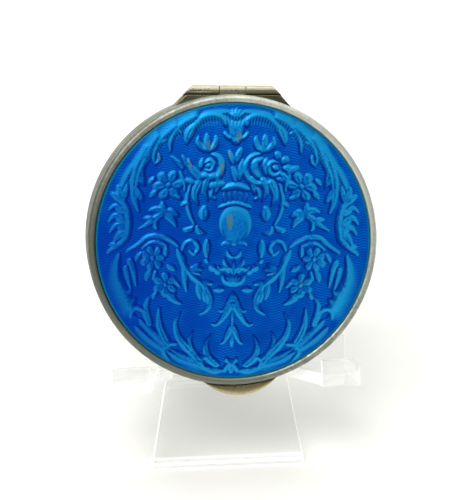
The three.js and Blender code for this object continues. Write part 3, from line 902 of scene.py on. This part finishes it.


# Finishes


# The colour of the painted shade on the silver and the gilt
SHADE_COLOUR = colour(56, 56, 42)
RUBBED_METAL = colour(84, 124, 92)
# The colour of the painted shade at the left of the enamel
LEFT_SHADE_BLUE = colour(0, 40, 148)
RIM_BLUE = colour(12, 100, 134)
GLASS_SHEEN = colour(90, 150, 255)
CLEAR = colour(246, 248, 245)


def worn_silver(name, tint, dark, roughness, tarnish_and_shade=0.0):
    """Satin silver, unevenly dulled, with fine scratches along x.

    It darkens low down and toward the left, partly tarnish and partly painted shade, and most of all at the
    far left, which is painted shade. Painted shade also lies where the mesh keeps a share of it.
    """
    paint = Paint(name)
    place = paint.place()
    x, _, z = paint.parts(place)
    cloud = paint.noise(place, 0.35, 4.0, 0.6)
    speck = paint.noise(place, 1.5, 4.0, 0.75)
    brushed = paint.node("ShaderNodeMapping", {}, {"Vector": place, "Scale": (0.8, 9.0, 9.0)})
    lines = paint.noise(brushed, 1.0, 4.0, 0.75)
    dull = (cloud * 0.5 + speck * 0.5).ramp(0.36, 0.68)
    # Darker low down and toward the left: partly tarnish, partly painted shade
    low = 1 - (z + cloud * 12).ramp(*TARNISH_AND_SHADE_HEIGHTS)
    left = 1 - x.ramp(-20, 18)
    far_left = 1 - x.ramp(-26, -17)
    tarnished_and_shaded = (dull * 0.6 + (low * 0.7 + left * 0.9) * tarnish_and_shade).ramp(0, 1.6)
    # Painted shade: the share the mesh keeps along the seam and the hinge, and more at the far left
    painted_shade = paint.attribute("painted_shade") + far_left * (tarnish_and_shade * 0.25)
    return paint.finish(
        Base_Color=paint.mix(painted_shade, paint.mix(tarnished_and_shaded, tint, dark), SHADE_COLOUR),
        Metallic=1.0,
        Roughness=roughness + dull * 0.14 + (lines - 0.5) * 0.12,
        Normal=paint.bump(speck * 0.5 + lines * 0.5, 0.02, 0.35),
    )


def box_silver():
    return worn_silver("Worn silver", colour(208, 211, 200), colour(122, 125, 114), 0.46, 1.2)


def hinge_gilt():
    return worn_silver("Darkened gilt", colour(184, 179, 154), colour(120, 113, 88), 0.26)


# A darker gilt than the hinge's, partly as painted shade under the lid's rim
def thumb_gilt_and_shade():
    return worn_silver("Dark thumb-piece", colour(186, 174, 132), colour(106, 95, 62), 0.24)


def engine_turning(x, y, pitch):
    """Engraved lines, from 0 to 1: a sine of y, which a long and a short sine of x move up and down."""
    long, short = [(x * (2 * math.pi / length)).sine() * height for length, height in TURNING_WAVES]
    return ((y + (long + short)) * (2 * math.pi / pitch)).sine() * 0.5 + 0.5


def rim_ticks(x, y, rim):
    """Short marks in a band along the upper rim: a sine of the angle."""
    band = rim.ramp(0.86, 0.88) * (1 - rim.ramp(0.95, 0.96)) * y.ramp(4, 12)
    return band * ((y.math("ARCTAN2", y, x) * RIM_TICKS).sine() * 0.5 + 0.5)


def blue_enamel():
    """Translucent blue glass over struck and engine-turned metal.

    The glass lies thin over the raised relief, so it is bright there, and brighter toward the rim and toward
    the right, where the brightening toward the right is painted light. Beside the relief it is darker, partly
    pooled glass and partly painted shade; the relief has painted shade on its side toward the panel's middle
    and a painted highlight on its other side. It is rubbed through to the metal in a few spots. The whole
    panel has painted shade toward the left, less at the upper left.
    """
    settings = bpy.context.scene.pill_box
    paint = Paint("Blue enamel")
    x, y, raised = paint.parts(paint.attribute("spot", "Vector"))
    steep, inner_side, worn = paint.parts(paint.attribute("tilt", "Vector"))
    rim = (x * x + y * y) ** 0.5 / PANEL_RADIUS
    line = engine_turning(x, y, settings.turning_pitch)
    top = raised.ramp(0.05, 0.95)
    place = paint.place()
    cloud = paint.noise(place, 0.28, 2.0, 0.5)
    fine = paint.noise(place, 2.4, 3.0, 0.65)

    clear = cloud.ramp(0.35, 0.65) * 0.5 + 0.25
    speckle = fine.ramp(0.45, 0.7) * (y + x * 0.2).ramp(-4, 20) * 0.55
    ground = paint.mix(line * (clear + speckle), settings.ground_blue, settings.line_blue)
    # Brighter toward the rim, and toward the right as painted light
    outer = rim.ramp(0.2, 0.85) * 0.6 + x.ramp(4, 18) * 0.5 + 0.4
    thin_and_lit = (cloud * 0.35 + fine * 0.65).ramp(0.38, 0.64) * outer
    glow = paint.mix(thin_and_lit, settings.raised_blue, settings.bright_blue)
    body = paint.mix(top, ground, glow)
    # Darker at the feet of the relief: pooled glass and painted shade
    pooled_and_shade = steep.ramp(0.15, 0.8) * (1 - raised.ramp(0.3, 0.75)) * 0.5
    shaded = paint.mix(pooled_and_shade, body, settings.edge_blue)
    # Painted shade on the relief's side toward the panel's middle
    shaded = paint.mix(inner_side.ramp(0.12, 0.75) * 0.75, shaded, settings.edge_blue)
    # Painted highlight on the relief's side away from the panel's middle
    lit = paint.mix((0 - inner_side).ramp(0.1, 0.7) * 0.75, shaded, settings.bright_blue)
    ticked = paint.mix(rim_ticks(x, y, rim) * 0.35, lit, settings.bright_blue)
    bare = (worn * (0.3 + fine * 1.4)).ramp(0.25, 0.85) * raised.ramp(0.15, 0.5)
    rubbed = paint.mix(bare * 0.6, ticked, RUBBED_METAL)
    # Painted shade toward the left of the panel, less at the upper left
    left_shade = (1 - x.ramp(-22, 0)) * (1 - (y - x).ramp(18, 34) * 0.5)
    left_shaded = paint.mix(left_shade * 0.6, rubbed, LEFT_SHADE_BLUE)
    edge = paint.mix(rim.ramp(1.0, 1.012), left_shaded, RIM_BLUE)
    height = line * (1 - top * 0.6) + raised * (settings.struck_depth * 1000 / ENAMEL_BUMP)
    return paint.finish(
        Base_Color=edge,
        Metallic=0.3,
        Roughness=0.42 - top * 0.05,
        Specular_IOR_Level=0.1,
        Specular_Tint=GLASS_SHEEN,
        Coat_Weight=0.05,
        Coat_Roughness=0.15,
        Coat_IOR=1.5,
        Normal=paint.bump(height, ENAMEL_BUMP, 0.5),
    )


def clear_acrylic():
    """Clear, polished acrylic with a few faint scratches. Its sawn edges are paler and glow, as do two lines
    along its feet: painted light.
    """
    paint = Paint("Clear acrylic")
    place = paint.place()
    stretched = paint.node("ShaderNodeMapping", {}, {"Vector": place, "Scale": (0.2, 3.0, 0.35)})
    scratch = paint.noise(stretched, 1.0, 2.0, 0.6).ramp(0.66, 0.72)
    clear = paint.shader(
        Base_Color=CLEAR,
        Roughness=0.015 + scratch * 0.08,
        IOR=1.49,
        Transmission_Weight=1.0,
        Alpha=0.42,
        Normal=paint.bump(scratch, 0.004, 0.3),
    )
    # The pale sides glow: painted light
    sawn_and_glow = paint.shader(
        Base_Color=CLEAR,
        Roughness=0.35,
        Emission_Color=(1, 1, 1, 1),
        Emission_Strength=0.4,
    )
    marks = paint.noise(place, 1.5, 2.0, 0.6)
    share = paint.attribute("sawn_and_glow") * (0.6 + marks * 0.3)
    return paint.end(paint.node("ShaderNodeMixShader", {}, {0: share, 1: clear, 2: sawn_and_glow}))


def pale_floor():
    """A plain, pale floor, a little uneven in tone and gloss."""
    paint = Paint("Pale floor")
    grain = paint.noise(paint.place(), 0.05, 3.0, 0.5)
    return paint.finish(
        Base_Color=paint.mix(grain, colour(236, 236, 232), colour(240, 240, 237)),
        Roughness=0.7 + grain * 0.1,
    )


# Pieces


def relief_maps():
    """Maps of the relief on a square grid of shares of the panel's radius, a little softened.

    They are its height, its slope and the part of the slope that rises away from the panel's middle.
    """
    across = np.linspace(-1, 1, RELIEF_GRID)
    x, y = np.meshgrid(across, across)
    height = relief_height(x.ravel(), y.ravel()).reshape(x.shape)
    for _ in range(RELIEF_SOFTEN):
        edge = np.pad(height, 1, mode="edge")
        height = (2 * height + edge[:-2, 1:-1] + edge[2:, 1:-1] + edge[1:-1, :-2] + edge[1:-1, 2:]) / 6
    step = across[1] - across[0]
    slope_y, slope_x = np.gradient(height, step)
    outward = (x * slope_x + y * slope_y) / np.maximum(np.hypot(x, y), 0.2)
    return height, np.hypot(slope_x, slope_y), outward


def sampled(table, x, y):
    """The table's value at (x, y), in straight lines between its points."""
    last = RELIEF_GRID - 1
    column, row = [np.clip((v + 1) / 2 * last, 0, last - 1e-6) for v in (x, y)]
    c, r = column.astype(int), row.astype(int)
    s, t = column - c, row - r
    lower = table[r, c] * (1 - s) + table[r, c + 1] * s
    upper = table[r + 1, c] * (1 - s) + table[r + 1, c + 1] * s
    return lower * (1 - t) + upper * t


def disc_grid(count):
    """A square grid of points bent into a disc of radius 1.

    The larger side of the square gives the distance from the middle, and the share of the two sides gives the
    angle, so the rows of the square become rings with a quarter turn between their corners.
    """
    side = np.linspace(-1, 1, count)
    u, v = np.meshgrid(side, side)
    wide = np.abs(u) > np.abs(v)
    far = np.where(wide, u, v)
    near = np.where(wide, v, u)
    turn = math.pi / 4 * near / np.where(far == 0, 1, far)
    angle = np.where(wide, turn, math.pi / 2 - turn)
    return far * np.cos(angle), far * np.sin(angle)


def worn_spots(x, y):
    """Where the glass is rubbed through: soft ovals, exp(-(distance / half size)^2) each."""
    worn = np.zeros_like(x)
    for spot_x, spot_y, half_x, half_y, depth in WORN_SPOTS:
        worn += depth * np.exp(-(((x - spot_x) / half_x) ** 2) - ((y - spot_y) / half_y) ** 2)
    return worn


def enamel_dome():
    """The panel: a parabola of a dome with the relief added to it, closed by its edge and its underside."""
    x, y = disc_grid(PANEL_GRID)
    cos_turn, sin_turn = math.cos(RELIEF_TURN), math.sin(RELIEF_TURN)
    flat_x, flat_y = x * cos_turn + y * sin_turn, y * cos_turn - x * sin_turn
    raised, steep, inner_side = [sampled(table, flat_x, flat_y) for table in relief_maps()]
    share = np.hypot(x, y)
    level = PANEL_EDGE + dome_at(share) + raised * bpy.context.scene.pill_box.relief_depth * 1000
    face = np.stack([x * ENAMEL_RADIUS, y * ENAMEL_RADIUS, level], -1).reshape(-1, 3)

    index = np.arange(PANEL_GRID**2).reshape(PANEL_GRID, PANEL_GRID)
    corners = [index[:-1, :-1], index[:-1, 1:], index[1:, 1:], index[1:, :-1]]
    quads = np.stack(corners, -1).reshape(-1, 4)
    border = np.concatenate([index[0, :-1], index[:-1, -1], index[-1, :0:-1], index[:0:-1, 0]])
    shares = np.array(BACK_RINGS)[:, None]
    ring_x, ring_y = (face[border, axis] * shares for axis in (0, 1))
    ring_z = PANEL_EDGE - PANEL_THICKNESS + dome_at(shares) + 0 * ring_x
    under = np.stack([ring_x, ring_y, ring_z], -1)
    rows, columns = under.shape[:2]
    start = len(face)
    back = grid_faces(rows, columns, start)[:, ::-1]
    ring = np.arange(columns)
    beside = (ring + 1) % columns
    skirt = np.stack([border[beside], border[ring], start + ring, start + beside], -1)
    cap = (start + (rows - 1) * columns + ring)[None, ::-1]

    points = in_frame(np.vstack([face, under.reshape(-1, 3)]))
    faces = [quads, skirt, back, cap]
    piece = surface("enamel_dome", points, faces, blue_enamel(), "lid", "enamel_panel")
    spot = np.zeros((len(points), 3))
    spot[: len(face)] = np.column_stack([face[:, 0], face[:, 1], raised.ravel()])
    spot[len(face) :, :2] = under.reshape(-1, 3)[:, :2]
    remember(piece, "spot", spot)
    tilt = np.zeros((len(points), 3))
    maps = [steep * SLOPE_SHARE, inner_side * SLOPE_SHARE, worn_spots(flat_x, flat_y)]
    tilt[: len(face)] = np.column_stack([each.ravel() for each in maps])
    remember(piece, "tilt", tilt)
    return piece


def plate_curve(level, from_radius, to_radius):
    """Corners along the lid plate's parabola, between two distances from the middle."""
    radius = np.linspace(from_radius, to_radius, PLATE_CORNERS)
    return [(r, level + dome_at(r / PANEL_RADIUS), 0) for r in radius]


def seam_shaded(piece, points, low, high):
    """Paints shade on the outside of a shell between two heights, falling evenly to nothing beyond them."""
    radius = np.hypot(points[:, 0], points[:, 1])
    share = np.interp(points[:, 2], [low - SEAM_SHADE_FADE, low, high, high + SEAM_SHADE_FADE], [0, 1, 1, 0])
    remember(piece, "painted_shade", share * SEAM_SHADE_SHARE * (radius > LID_RADIUS - LID_WALL / 2))
    return piece


def lid_shell():
    """The lid: its inside, wall, rounded bezel and the plate under the enamel, turned from one profile."""
    crown_outer = (VISIBLE_INNER + LID_RADIUS + BEZEL_FLAT) / 2
    crown_inner = crown_outer - BEZEL_FLAT
    lid_inner = LID_RADIUS - LID_WALL
    profile = rounded_profile([
        *plate_curve(PLATE_TOP - LID_PLATE, SHELL_MIDDLE, lid_inner - PLATE_RIM),
        (lid_inner, PLATE_TOP - LID_PLATE, 0.25),
        (lid_inner, LID_BOTTOM, 0.12),
        (LID_RADIUS, LID_BOTTOM, 0.15),
        (LID_RADIUS, LID_TOP - BEZEL_ROUND * 0.6, 0.45),
        (crown_outer + 0.15, LID_TOP, 0.3),
        (crown_inner - 0.1, LID_TOP, 0.3),
        (VISIBLE_INNER, LID_TOP - BEZEL_ROUND * 0.2, 0.1),
        (VISIBLE_INNER, PLATE_TOP, 0.1),
        *plate_curve(PLATE_TOP, VISIBLE_INNER - PLATE_RIM, SHELL_MIDDLE),
    ])
    end = BARREL_HALF + 2 * KNUCKLE_RADIUS + REST_GAP
    points = dented(turned(profile), MIDDLE_KNUCKLE_HALF, end)
    points = dented(points, -end, -MIDDLE_KNUCKLE_HALF)
    grid, faces = packed([points])
    piece = surface("lid_shell", in_frame(grid), faces, box_silver(), "lid", "lid_frame")
    return seam_shaded(piece, grid, LID_BOTTOM, SEAM_SHADE_TOP)


def base_shell():
    """The tray: its bottom, wall, the collar that the lid closes over and its floor, from one profile."""
    collar_top = BASE_HEIGHT + COLLAR_RISE
    wall_inner = BASE_RADIUS - BASE_WALL
    profile = rounded_profile([
        (SHELL_MIDDLE, 0, 0),
        (BASE_RADIUS, 0, BASE_EDGE_ROUND),
        (BASE_RADIUS, BASE_HEIGHT, 0.12),
        (COLLAR_OUTER, BASE_HEIGHT, 0.1),
        (COLLAR_OUTER, collar_top, 0.2),
        (COLLAR_INNER, collar_top, 0.2),
        (COLLAR_INNER, BASE_HEIGHT - COLLAR_ROOT, 0.2),
        (wall_inner, BASE_HEIGHT - COLLAR_ROOT - BASE_WALL, 0.2),
        (wall_inner, BASE_FLOOR, 0.6),
        (SHELL_MIDDLE, BASE_FLOOR, 0),
    ])
    points = dented(turned(profile), -MIDDLE_ROOM_HALF, MIDDLE_ROOM_HALF)
    grid, faces = packed([points])
    piece = surface("base_shell", in_frame(grid), faces, box_silver(), "base", "base_pan")
    return seam_shaded(piece, grid, SEAM_SHADE_BOTTOM, BASE_HEIGHT)


def leaf_outline(root, inset, top, room=0.0):
    """A hinge leaf: it starts inside the wall and its ends slope out at 45 degrees to the wall.

    With a room, its outer edge steps back round the middle knuckle.
    """
    end = BARREL_HALF - inset + HINGE_Y + KNUCKLE_RADIUS
    half, reach = end - top, end - LEAF_FOOT
    x = np.linspace(-reach, reach, LEAF_POINTS)
    wall = np.column_stack([x, np.sqrt(root**2 - x**2)])
    edge = [(half, top), (-half, top)]
    if room:
        back = top - room
        edge = [(half, top), (MIDDLE_ROOM_HALF, top), (MIDDLE_ROOM_HALF, back)]
        edge += [(-MIDDLE_ROOM_HALF, back), (-MIDDLE_ROOM_HALF, top), (-half, top)]
    return np.vstack([wall, edge])


def hinge_piece(name, grids, body, node):
    """A body's half of the hinge, with rounded edges and with painted shade along the wall."""
    points, faces = packed(grids)
    piece = surface(name, in_frame(points), faces, hinge_gilt(), body, node)
    beyond, shares = zip(*HINGE_SHADE)
    remember(piece, "painted_shade", np.interp(points[:, 1] - LID_RADIUS, beyond, shares))
    return bevelled(piece, HINGE_EDGE)


def lid_hinge():
    """The lid's half of the hinge: a leaf, a web and the middle knuckle."""
    top = HINGE_Y - NOTCH_RADIUS
    outline = leaf_outline(LID_LEAF_ROOT, LID_LEAF_INSET, top + LID_LEAF_LAP)
    plate = slab(outline, LID_BOTTOM, LID_BOTTOM + LEAF_THICKNESS)
    web_outline = [
        (-MIDDLE_KNUCKLE_HALF, LID_RADIUS - LID_WALL / 2),
        (MIDDLE_KNUCKLE_HALF, LID_RADIUS - LID_WALL / 2),
        (MIDDLE_KNUCKLE_HALF, HINGE_Y),
        (-MIDDLE_KNUCKLE_HALF, HINGE_Y),
    ]
    web = slab(web_outline, WEB_BOTTOM, WEB_TOP)
    middle = knuckle(-MIDDLE_KNUCKLE_HALF, MIDDLE_KNUCKLE_HALF)
    return hinge_piece("lid_hinge_leaf", [plate, web, middle], "lid", "lid_frame")


def base_hinge():
    """The tray's half of the hinge: a leaf and the two outer knuckles, cut off at 45 degrees."""
    outline = leaf_outline(BASE_LEAF_ROOT, 0, HINGE_Y, NOTCH_RADIUS)
    plate = slab(outline, BASE_HEIGHT - LEAF_THICKNESS, BASE_HEIGHT)
    left = knuckle(-BARREL_HALF, -MIDDLE_ROOM_HALF, (-1, 0))
    right = knuckle(MIDDLE_ROOM_HALF, BARREL_HALF, (0, 1))
    return hinge_piece("base_hinge_leaf", [plate, left, right], "base", "base_pan")


def hinge_wire():
    """The pin: a circle carried along x, drawn in at both ends by a quarter of an ellipse."""
    angle = np.linspace(0, 2 * math.pi, ROD_SIDES, endpoint=False)
    t = np.linspace(-math.pi / 2, math.pi / 2, PIN_RINGS)[:, None]
    x = np.sign(t) * (PIN_HALF - PIN_ROUND + PIN_ROUND * np.abs(np.sin(t))) + 0 * angle
    radius = PIN_RADIUS * np.maximum(np.cos(t) ** 0.35, 0.3)
    points = np.stack([x, HINGE_Y + radius * np.cos(angle), HINGE_Z + radius * np.sin(angle)], -1)
    order = np.argsort(points[:, 0, 0], kind="stable")
    grid, faces = packed([points[order]])
    return surface("hinge_wire", in_frame(grid), faces, hinge_gilt(), "base", "hinge_pin")


def thumb_crescent():
    """A rounded crescent between the lid's wall and a flatter circle.

    At each angle its section is a rounded rectangle: the powers 0.45 of cosine and sine, scaled to the room
    between the two circles and to its thickness.
    """
    inner = LID_RADIUS + REST_GAP
    half_angle = math.asin(THUMB_CHORD / 2 / inner)
    end_y = -inner * math.cos(half_angle)
    bulge = THUMB_REACH + inner + end_y
    outer = ((THUMB_CHORD / 2) ** 2 + bulge**2) / (2 * bulge)
    outer_y = end_y - bulge + outer
    x = np.linspace(-1, 1, CRESCENT_STEPS)[:, None]
    x = np.sin(x * math.pi / 2) * THUMB_CHORD / 2 * 0.998
    near_y = -np.sqrt(inner**2 - x**2)
    far_y = outer_y - np.sqrt(outer**2 - x**2)
    angle = np.linspace(0, 2 * math.pi, CRESCENT_SIDES, endpoint=False)
    across = np.sign(np.cos(angle)) * np.abs(np.cos(angle)) ** THUMB_POWER
    up = np.sign(np.sin(angle)) * np.abs(np.sin(angle)) ** THUMB_POWER
    width = np.maximum(near_y - far_y, THUMB_TIP)
    y = (near_y + far_y) / 2 + across * width / 2
    z = THUMB_BOTTOM + THUMB_THICKNESS / 2 * (1 + up * np.minimum(1, 0.55 + width))
    turn = THUMB_TURN
    points = np.stack([
        x * math.cos(turn) - y * math.sin(turn),
        x * math.sin(turn) + y * math.cos(turn),
        z + 0 * x,
    ], -1)
    grid, faces = packed([points[:, ::-1]])
    return surface("thumb_crescent", in_frame(grid), faces, thumb_gilt_and_shade(), "lid", "thumb_piece")


def sawn_and_glow_share(normal, middle):
    """How far a face of the easel is pale and glows with painted light: its sawn sides, two lines of light
    along the feet, less between.
    """
    low, high, top = FOOT_LINES
    if abs(normal.x) > SAWN_FROM or middle.z < low or high < middle.z < top:
        return 1.0
    return FOOT_GLOW if middle.z < high else 0.0


def easel_sheet():
    """The clear easel: the solid's own shape as one clean shell, with polished, rounded edges."""
    shell = bmesh.new()
    shell.from_mesh(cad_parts["display_easel"].data)
    bmesh.ops.remove_doubles(shell, verts=shell.verts, dist=MERGE_DISTANCE)
    bmesh.ops.dissolve_limit(shell, angle_limit=math.radians(1), verts=shell.verts, edges=shell.edges)
    for level in FOOT_LINES:
        everything = [*shell.verts, *shell.edges, *shell.faces]
        bmesh.ops.bisect_plane(shell, geom=everything, plane_co=(0, 0, level / 1000), plane_no=(0, 0, 1))
    mesh = bpy.data.meshes.new("easel_sheet")
    shell.normal_update()
    sawn_and_glow = [sawn_and_glow_share(face.normal, face.calc_center_median() * 1000) for face in shell.faces]
    shell.to_mesh(mesh)
    shell.free()
    mesh.attributes.new("sawn_and_glow", "FLOAT", "FACE").data.foreach_set("value", sawn_and_glow)
    mesh.materials.clear()
    piece = dressed(mesh, clear_acrylic(), "base", "display_easel")
    return bevelled(piece, EASEL_EDGE, 3)


# Stage


def floor_and_backdrop():
    """A floor that curves up behind into a backdrop: straight, a quarter circle, straight."""
    low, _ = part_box("display_easel")
    reach, straight, bend, tall = 1.2, 0.3, 0.3, 1.2
    t = np.linspace(0, math.pi / 2, BACKDROP_STEPS)
    y = np.concatenate([[-reach, straight], straight + bend * np.sin(t), [straight + bend]])
    z = np.concatenate([[0, 0], bend * (1 - np.cos(t)), [tall]]) + low.z
    x = np.array([-reach, reach])
    points = np.stack([x + 0 * y[:, None], y[:, None] + 0 * x, z[:, None] + 0 * x], -1)
    row = np.arange(len(y) - 1) * 2
    quads = np.stack([row, row + 1, row + 3, row + 2], -1)
    mesh = bpy.data.meshes.new("studio_floor")
    mesh.from_pydata(points.reshape(-1, 3), [], quads.tolist())
    mesh.shade_smooth()
    mesh.materials.append(pale_floor())
    floor = bpy.data.objects.new("studio_floor", mesh)
    bpy.context.scene.collection.objects.link(floor)


def soft_light(name, place, aim, size, power, tint):
    light = bpy.data.lights.new(name, "AREA")
    light.shape = "RECTANGLE"
    light.size, light.size_y = size
    light.energy = power
    light.color = tint
    lamp = bpy.data.objects.new(name, light)
    lamp.location = place
    lamp.rotation_euler = (Vector(place) - aim).to_track_quat("Z", "Y").to_euler()
    bpy.context.scene.collection.objects.link(lamp)


def camera_at(settings, aim):
    """Places the camera by azimuth, height and distance from the lid's middle, and rolls it."""
    side, rise, roll = settings.azimuth, settings.elevation, settings.roll
    back = Vector((
        math.sin(side) * math.cos(rise),
        -math.cos(side) * math.cos(rise),
        math.sin(rise),
    ))
    right = Vector((math.cos(side), math.sin(side), 0))
    up = back.cross(right)
    turned_right = right * math.cos(roll) + up * math.sin(roll)
    turned_up = up * math.cos(roll) - right * math.sin(roll)
    matrix = Matrix((turned_right, turned_up, back)).transposed().to_4x4()
    matrix.translation = aim + back * settings.distance
    lens = bpy.data.cameras.new("Camera")
    lens.lens = settings.lens * 1000
    lens.sensor_width = 36
    lens.shift_x = -settings.shift_right
    lens.shift_y = -settings.shift_up
    lens.clip_start = 0.01
    lens.clip_end = 10
    camera = bpy.data.objects.new("Camera", lens)
    camera.matrix_world = matrix
    bpy.context.scene.collection.objects.link(camera)
    bpy.context.scene.camera = camera


# The add-on


def pixels(count):
    """A number of the photograph's pixels as a share of its longer side."""
    return count / 500


class PillBoxSettings(bpy.types.PropertyGroup):
    """What a user would change on the box."""

    turning_pitch: bpy.props.FloatProperty(
        name="Engine-turning pitch",
        description="Millimetres between two engraved lines under the enamel",
        default=0.46,
        min=0.1,
    )
    relief_depth: bpy.props.FloatProperty(
        name="Relief depth",
        description="How far the struck relief stands above the dome",
        default=0.00015,
        unit="LENGTH",
    )
    struck_depth: bpy.props.FloatProperty(
        name="Struck depth",
        description="How much deeper the metal under the glass is struck than its surface shows",
        default=0.0001,
        unit="LENGTH",
    )
    ground_blue: bpy.props.FloatVectorProperty(
        name="Ground blue",
        description="Enamel over the flat ground",
        default=colour(0, 58, 158),
        size=4,
        subtype="COLOR",
    )
    line_blue: bpy.props.FloatVectorProperty(
        name="Line blue",
        description="Enamel over the engraved lines of the ground",
        default=colour(0, 106, 200),
        size=4,
        subtype="COLOR",
    )
    raised_blue: bpy.props.FloatVectorProperty(
        name="Raised blue",
        description="Thin enamel over the raised relief",
        default=colour(0, 92, 176),
        size=4,
        subtype="COLOR",
    )
    # Also the painted highlight on the relief, and the rim's ticks
    bright_blue: bpy.props.FloatVectorProperty(
        name="Bright blue",
        description="The thinnest, brightest enamel on the relief",
        default=colour(24, 146, 204),
        size=4,
        subtype="COLOR",
    )
    # Also the painted shade on the relief's side toward the panel's middle
    edge_blue: bpy.props.FloatVectorProperty(
        name="Edge blue",
        description="Thick enamel pooled against the sides of the relief",
        default=colour(0, 34, 124),
        size=4,
        subtype="COLOR",
    )


class StageSettings(bpy.types.PropertyGroup):
    """What a user would change on the camera and the light."""

    azimuth: bpy.props.FloatProperty(
        name="Azimuth",
        description="Camera's angle round the box from its front",
        default=math.radians(-7),
        subtype="ANGLE",
    )
    elevation: bpy.props.FloatProperty(
        name="Elevation",
        description="Camera's angle above the table",
        default=math.radians(24),
        subtype="ANGLE",
    )
    roll: bpy.props.FloatProperty(
        name="Roll",
        description="How far the camera leans to its left",
        default=math.radians(1),
        subtype="ANGLE",
    )
    distance: bpy.props.FloatProperty(
        name="Distance",
        description="From the lid's middle to the camera",
        default=0.45,
        unit="LENGTH",
    )
    lens: bpy.props.FloatProperty(
        name="Lens",
        description="Focal length",
        default=0.189,
        unit="LENGTH",
    )
    shift_right: bpy.props.FloatProperty(
        name="Shift right",
        description="How far right of the frame's middle the lid lies, as a share of the frame's height",
        default=pixels(5),
    )
    shift_up: bpy.props.FloatProperty(
        name="Shift up",
        description="How far above the frame's middle the lid lies, as a share of the frame's height",
        default=pixels(9),
    )
    key_power: bpy.props.FloatProperty(
        name="Key light",
        description="Power of the large soft light at the upper left",
        default=6.0,
        unit="POWER",
    )
    side_power: bpy.props.FloatProperty(
        name="Side light",
        description="Power of the soft light at the right",
        default=0.5,
        unit="POWER",
    )
    overhead_power: bpy.props.FloatProperty(
        name="Overhead light",
        description="Power of the wide soft light above",
        default=9.0,
        unit="POWER",
    )
    sky: bpy.props.FloatProperty(
        name="Room light",
        description="Strength of the even light from all sides",
        default=0.16,
    )


class PILLBOX_OT_enamel(bpy.types.Operator):
    """Builds the domed enamel panel with its relief"""

    bl_idname = "pillbox.enamel"
    bl_label = "Enamel panel"

    def execute(self, context):
        enamel_dome()
        return {"FINISHED"}


class PILLBOX_OT_lid(bpy.types.Operator):
    """Builds the silver lid with its bezel and its half of the hinge"""

    bl_idname = "pillbox.lid"
    bl_label = "Lid"

    def execute(self, context):
        lid_shell()
        lid_hinge()
        return {"FINISHED"}


class PILLBOX_OT_base(bpy.types.Operator):
    """Builds the silver tray and its half of the hinge"""

    bl_idname = "pillbox.base"
    bl_label = "Tray"

    def execute(self, context):
        base_shell()
        base_hinge()
        return {"FINISHED"}


class PILLBOX_OT_fittings(bpy.types.Operator):
    """Builds the hinge pin and the thumb-piece"""

    bl_idname = "pillbox.fittings"
    bl_label = "Pin and thumb-piece"

    def execute(self, context):
        hinge_wire()
        thumb_crescent()
        return {"FINISHED"}


class PILLBOX_OT_easel(bpy.types.Operator):
    """Builds the clear acrylic easel"""

    bl_idname = "pillbox.easel"
    bl_label = "Easel"

    def execute(self, context):
        easel_sheet()
        return {"FINISHED"}


class PILLBOX_OT_stage(bpy.types.Operator):
    """Sets up the floor, the lights and the camera"""

    bl_idname = "pillbox.stage"
    bl_label = "Floor, light and camera"

    def execute(self, context):
        settings = context.scene.pill_box_stage
        aim = Vector(in_frame(np.array([[0, 0, LID_TOP]]))[0])
        floor_and_backdrop()
        camera_at(settings, aim)
        soft_light("Overhead", (0.0, 0.15, 0.9), aim, (1.4, 1.1), settings.overhead_power, (1, 1, 0.99))
        soft_light("Key", (-0.25, -0.55, 0.7), aim, (0.5, 0.3), settings.key_power, (1, 0.99, 0.97))
        soft_light("Side", (0.75, -0.1, 0.35), aim, (0.4, 0.6), settings.side_power, (0.98, 1, 1))
        world = bpy.data.worlds.new("Room light")
        context.scene.world = world
        world.use_nodes = True
        background = world.node_tree.nodes["Background"]
        background.inputs["Color"].default_value = (1, 1, 1, 1)
        background.inputs["Strength"].default_value = settings.sky
        context.scene.view_settings.view_transform = "Standard"
        return {"FINISHED"}


OPERATORS = (
    PILLBOX_OT_enamel,
    PILLBOX_OT_lid,
    PILLBOX_OT_base,
    PILLBOX_OT_fittings,
    PILLBOX_OT_easel,
    PILLBOX_OT_stage,
)


class PILLBOX_PT_pieces(bpy.types.Panel):
    """Lists the pieces in the 3D view's sidebar"""

    bl_idname = "PILLBOX_PT_pieces"
    bl_label = "Enamelled pill box"
    bl_space_type = "VIEW_3D"
    bl_region_type = "UI"
    bl_category = "Pill box"

    def draw(self, context):
        for group in (context.scene.pill_box, context.scene.pill_box_stage):
            for name in group.__annotations__:
                self.layout.prop(group, name)
        for operator in OPERATORS:
            self.layout.operator(operator.bl_idname)


CLASSES = (PillBoxSettings, StageSettings, *OPERATORS, PILLBOX_PT_pieces)


def register():
    for each in CLASSES:
        bpy.utils.register_class(each)
    bpy.types.Scene.pill_box = bpy.props.PointerProperty(type=PillBoxSettings)
    bpy.types.Scene.pill_box_stage = bpy.props.PointerProperty(type=StageSettings)


def unregister():
    del bpy.types.Scene.pill_box_stage
    del bpy.types.Scene.pill_box
    for each in reversed(CLASSES):
        bpy.utils.unregister_class(each)


def main():
    register()
    bpy.ops.pillbox.enamel()
    bpy.ops.pillbox.lid()
    bpy.ops.pillbox.base()
    bpy.ops.pillbox.fittings()
    bpy.ops.pillbox.easel()
    bpy.ops.pillbox.stage()


if __name__ == "__main__":
    main()
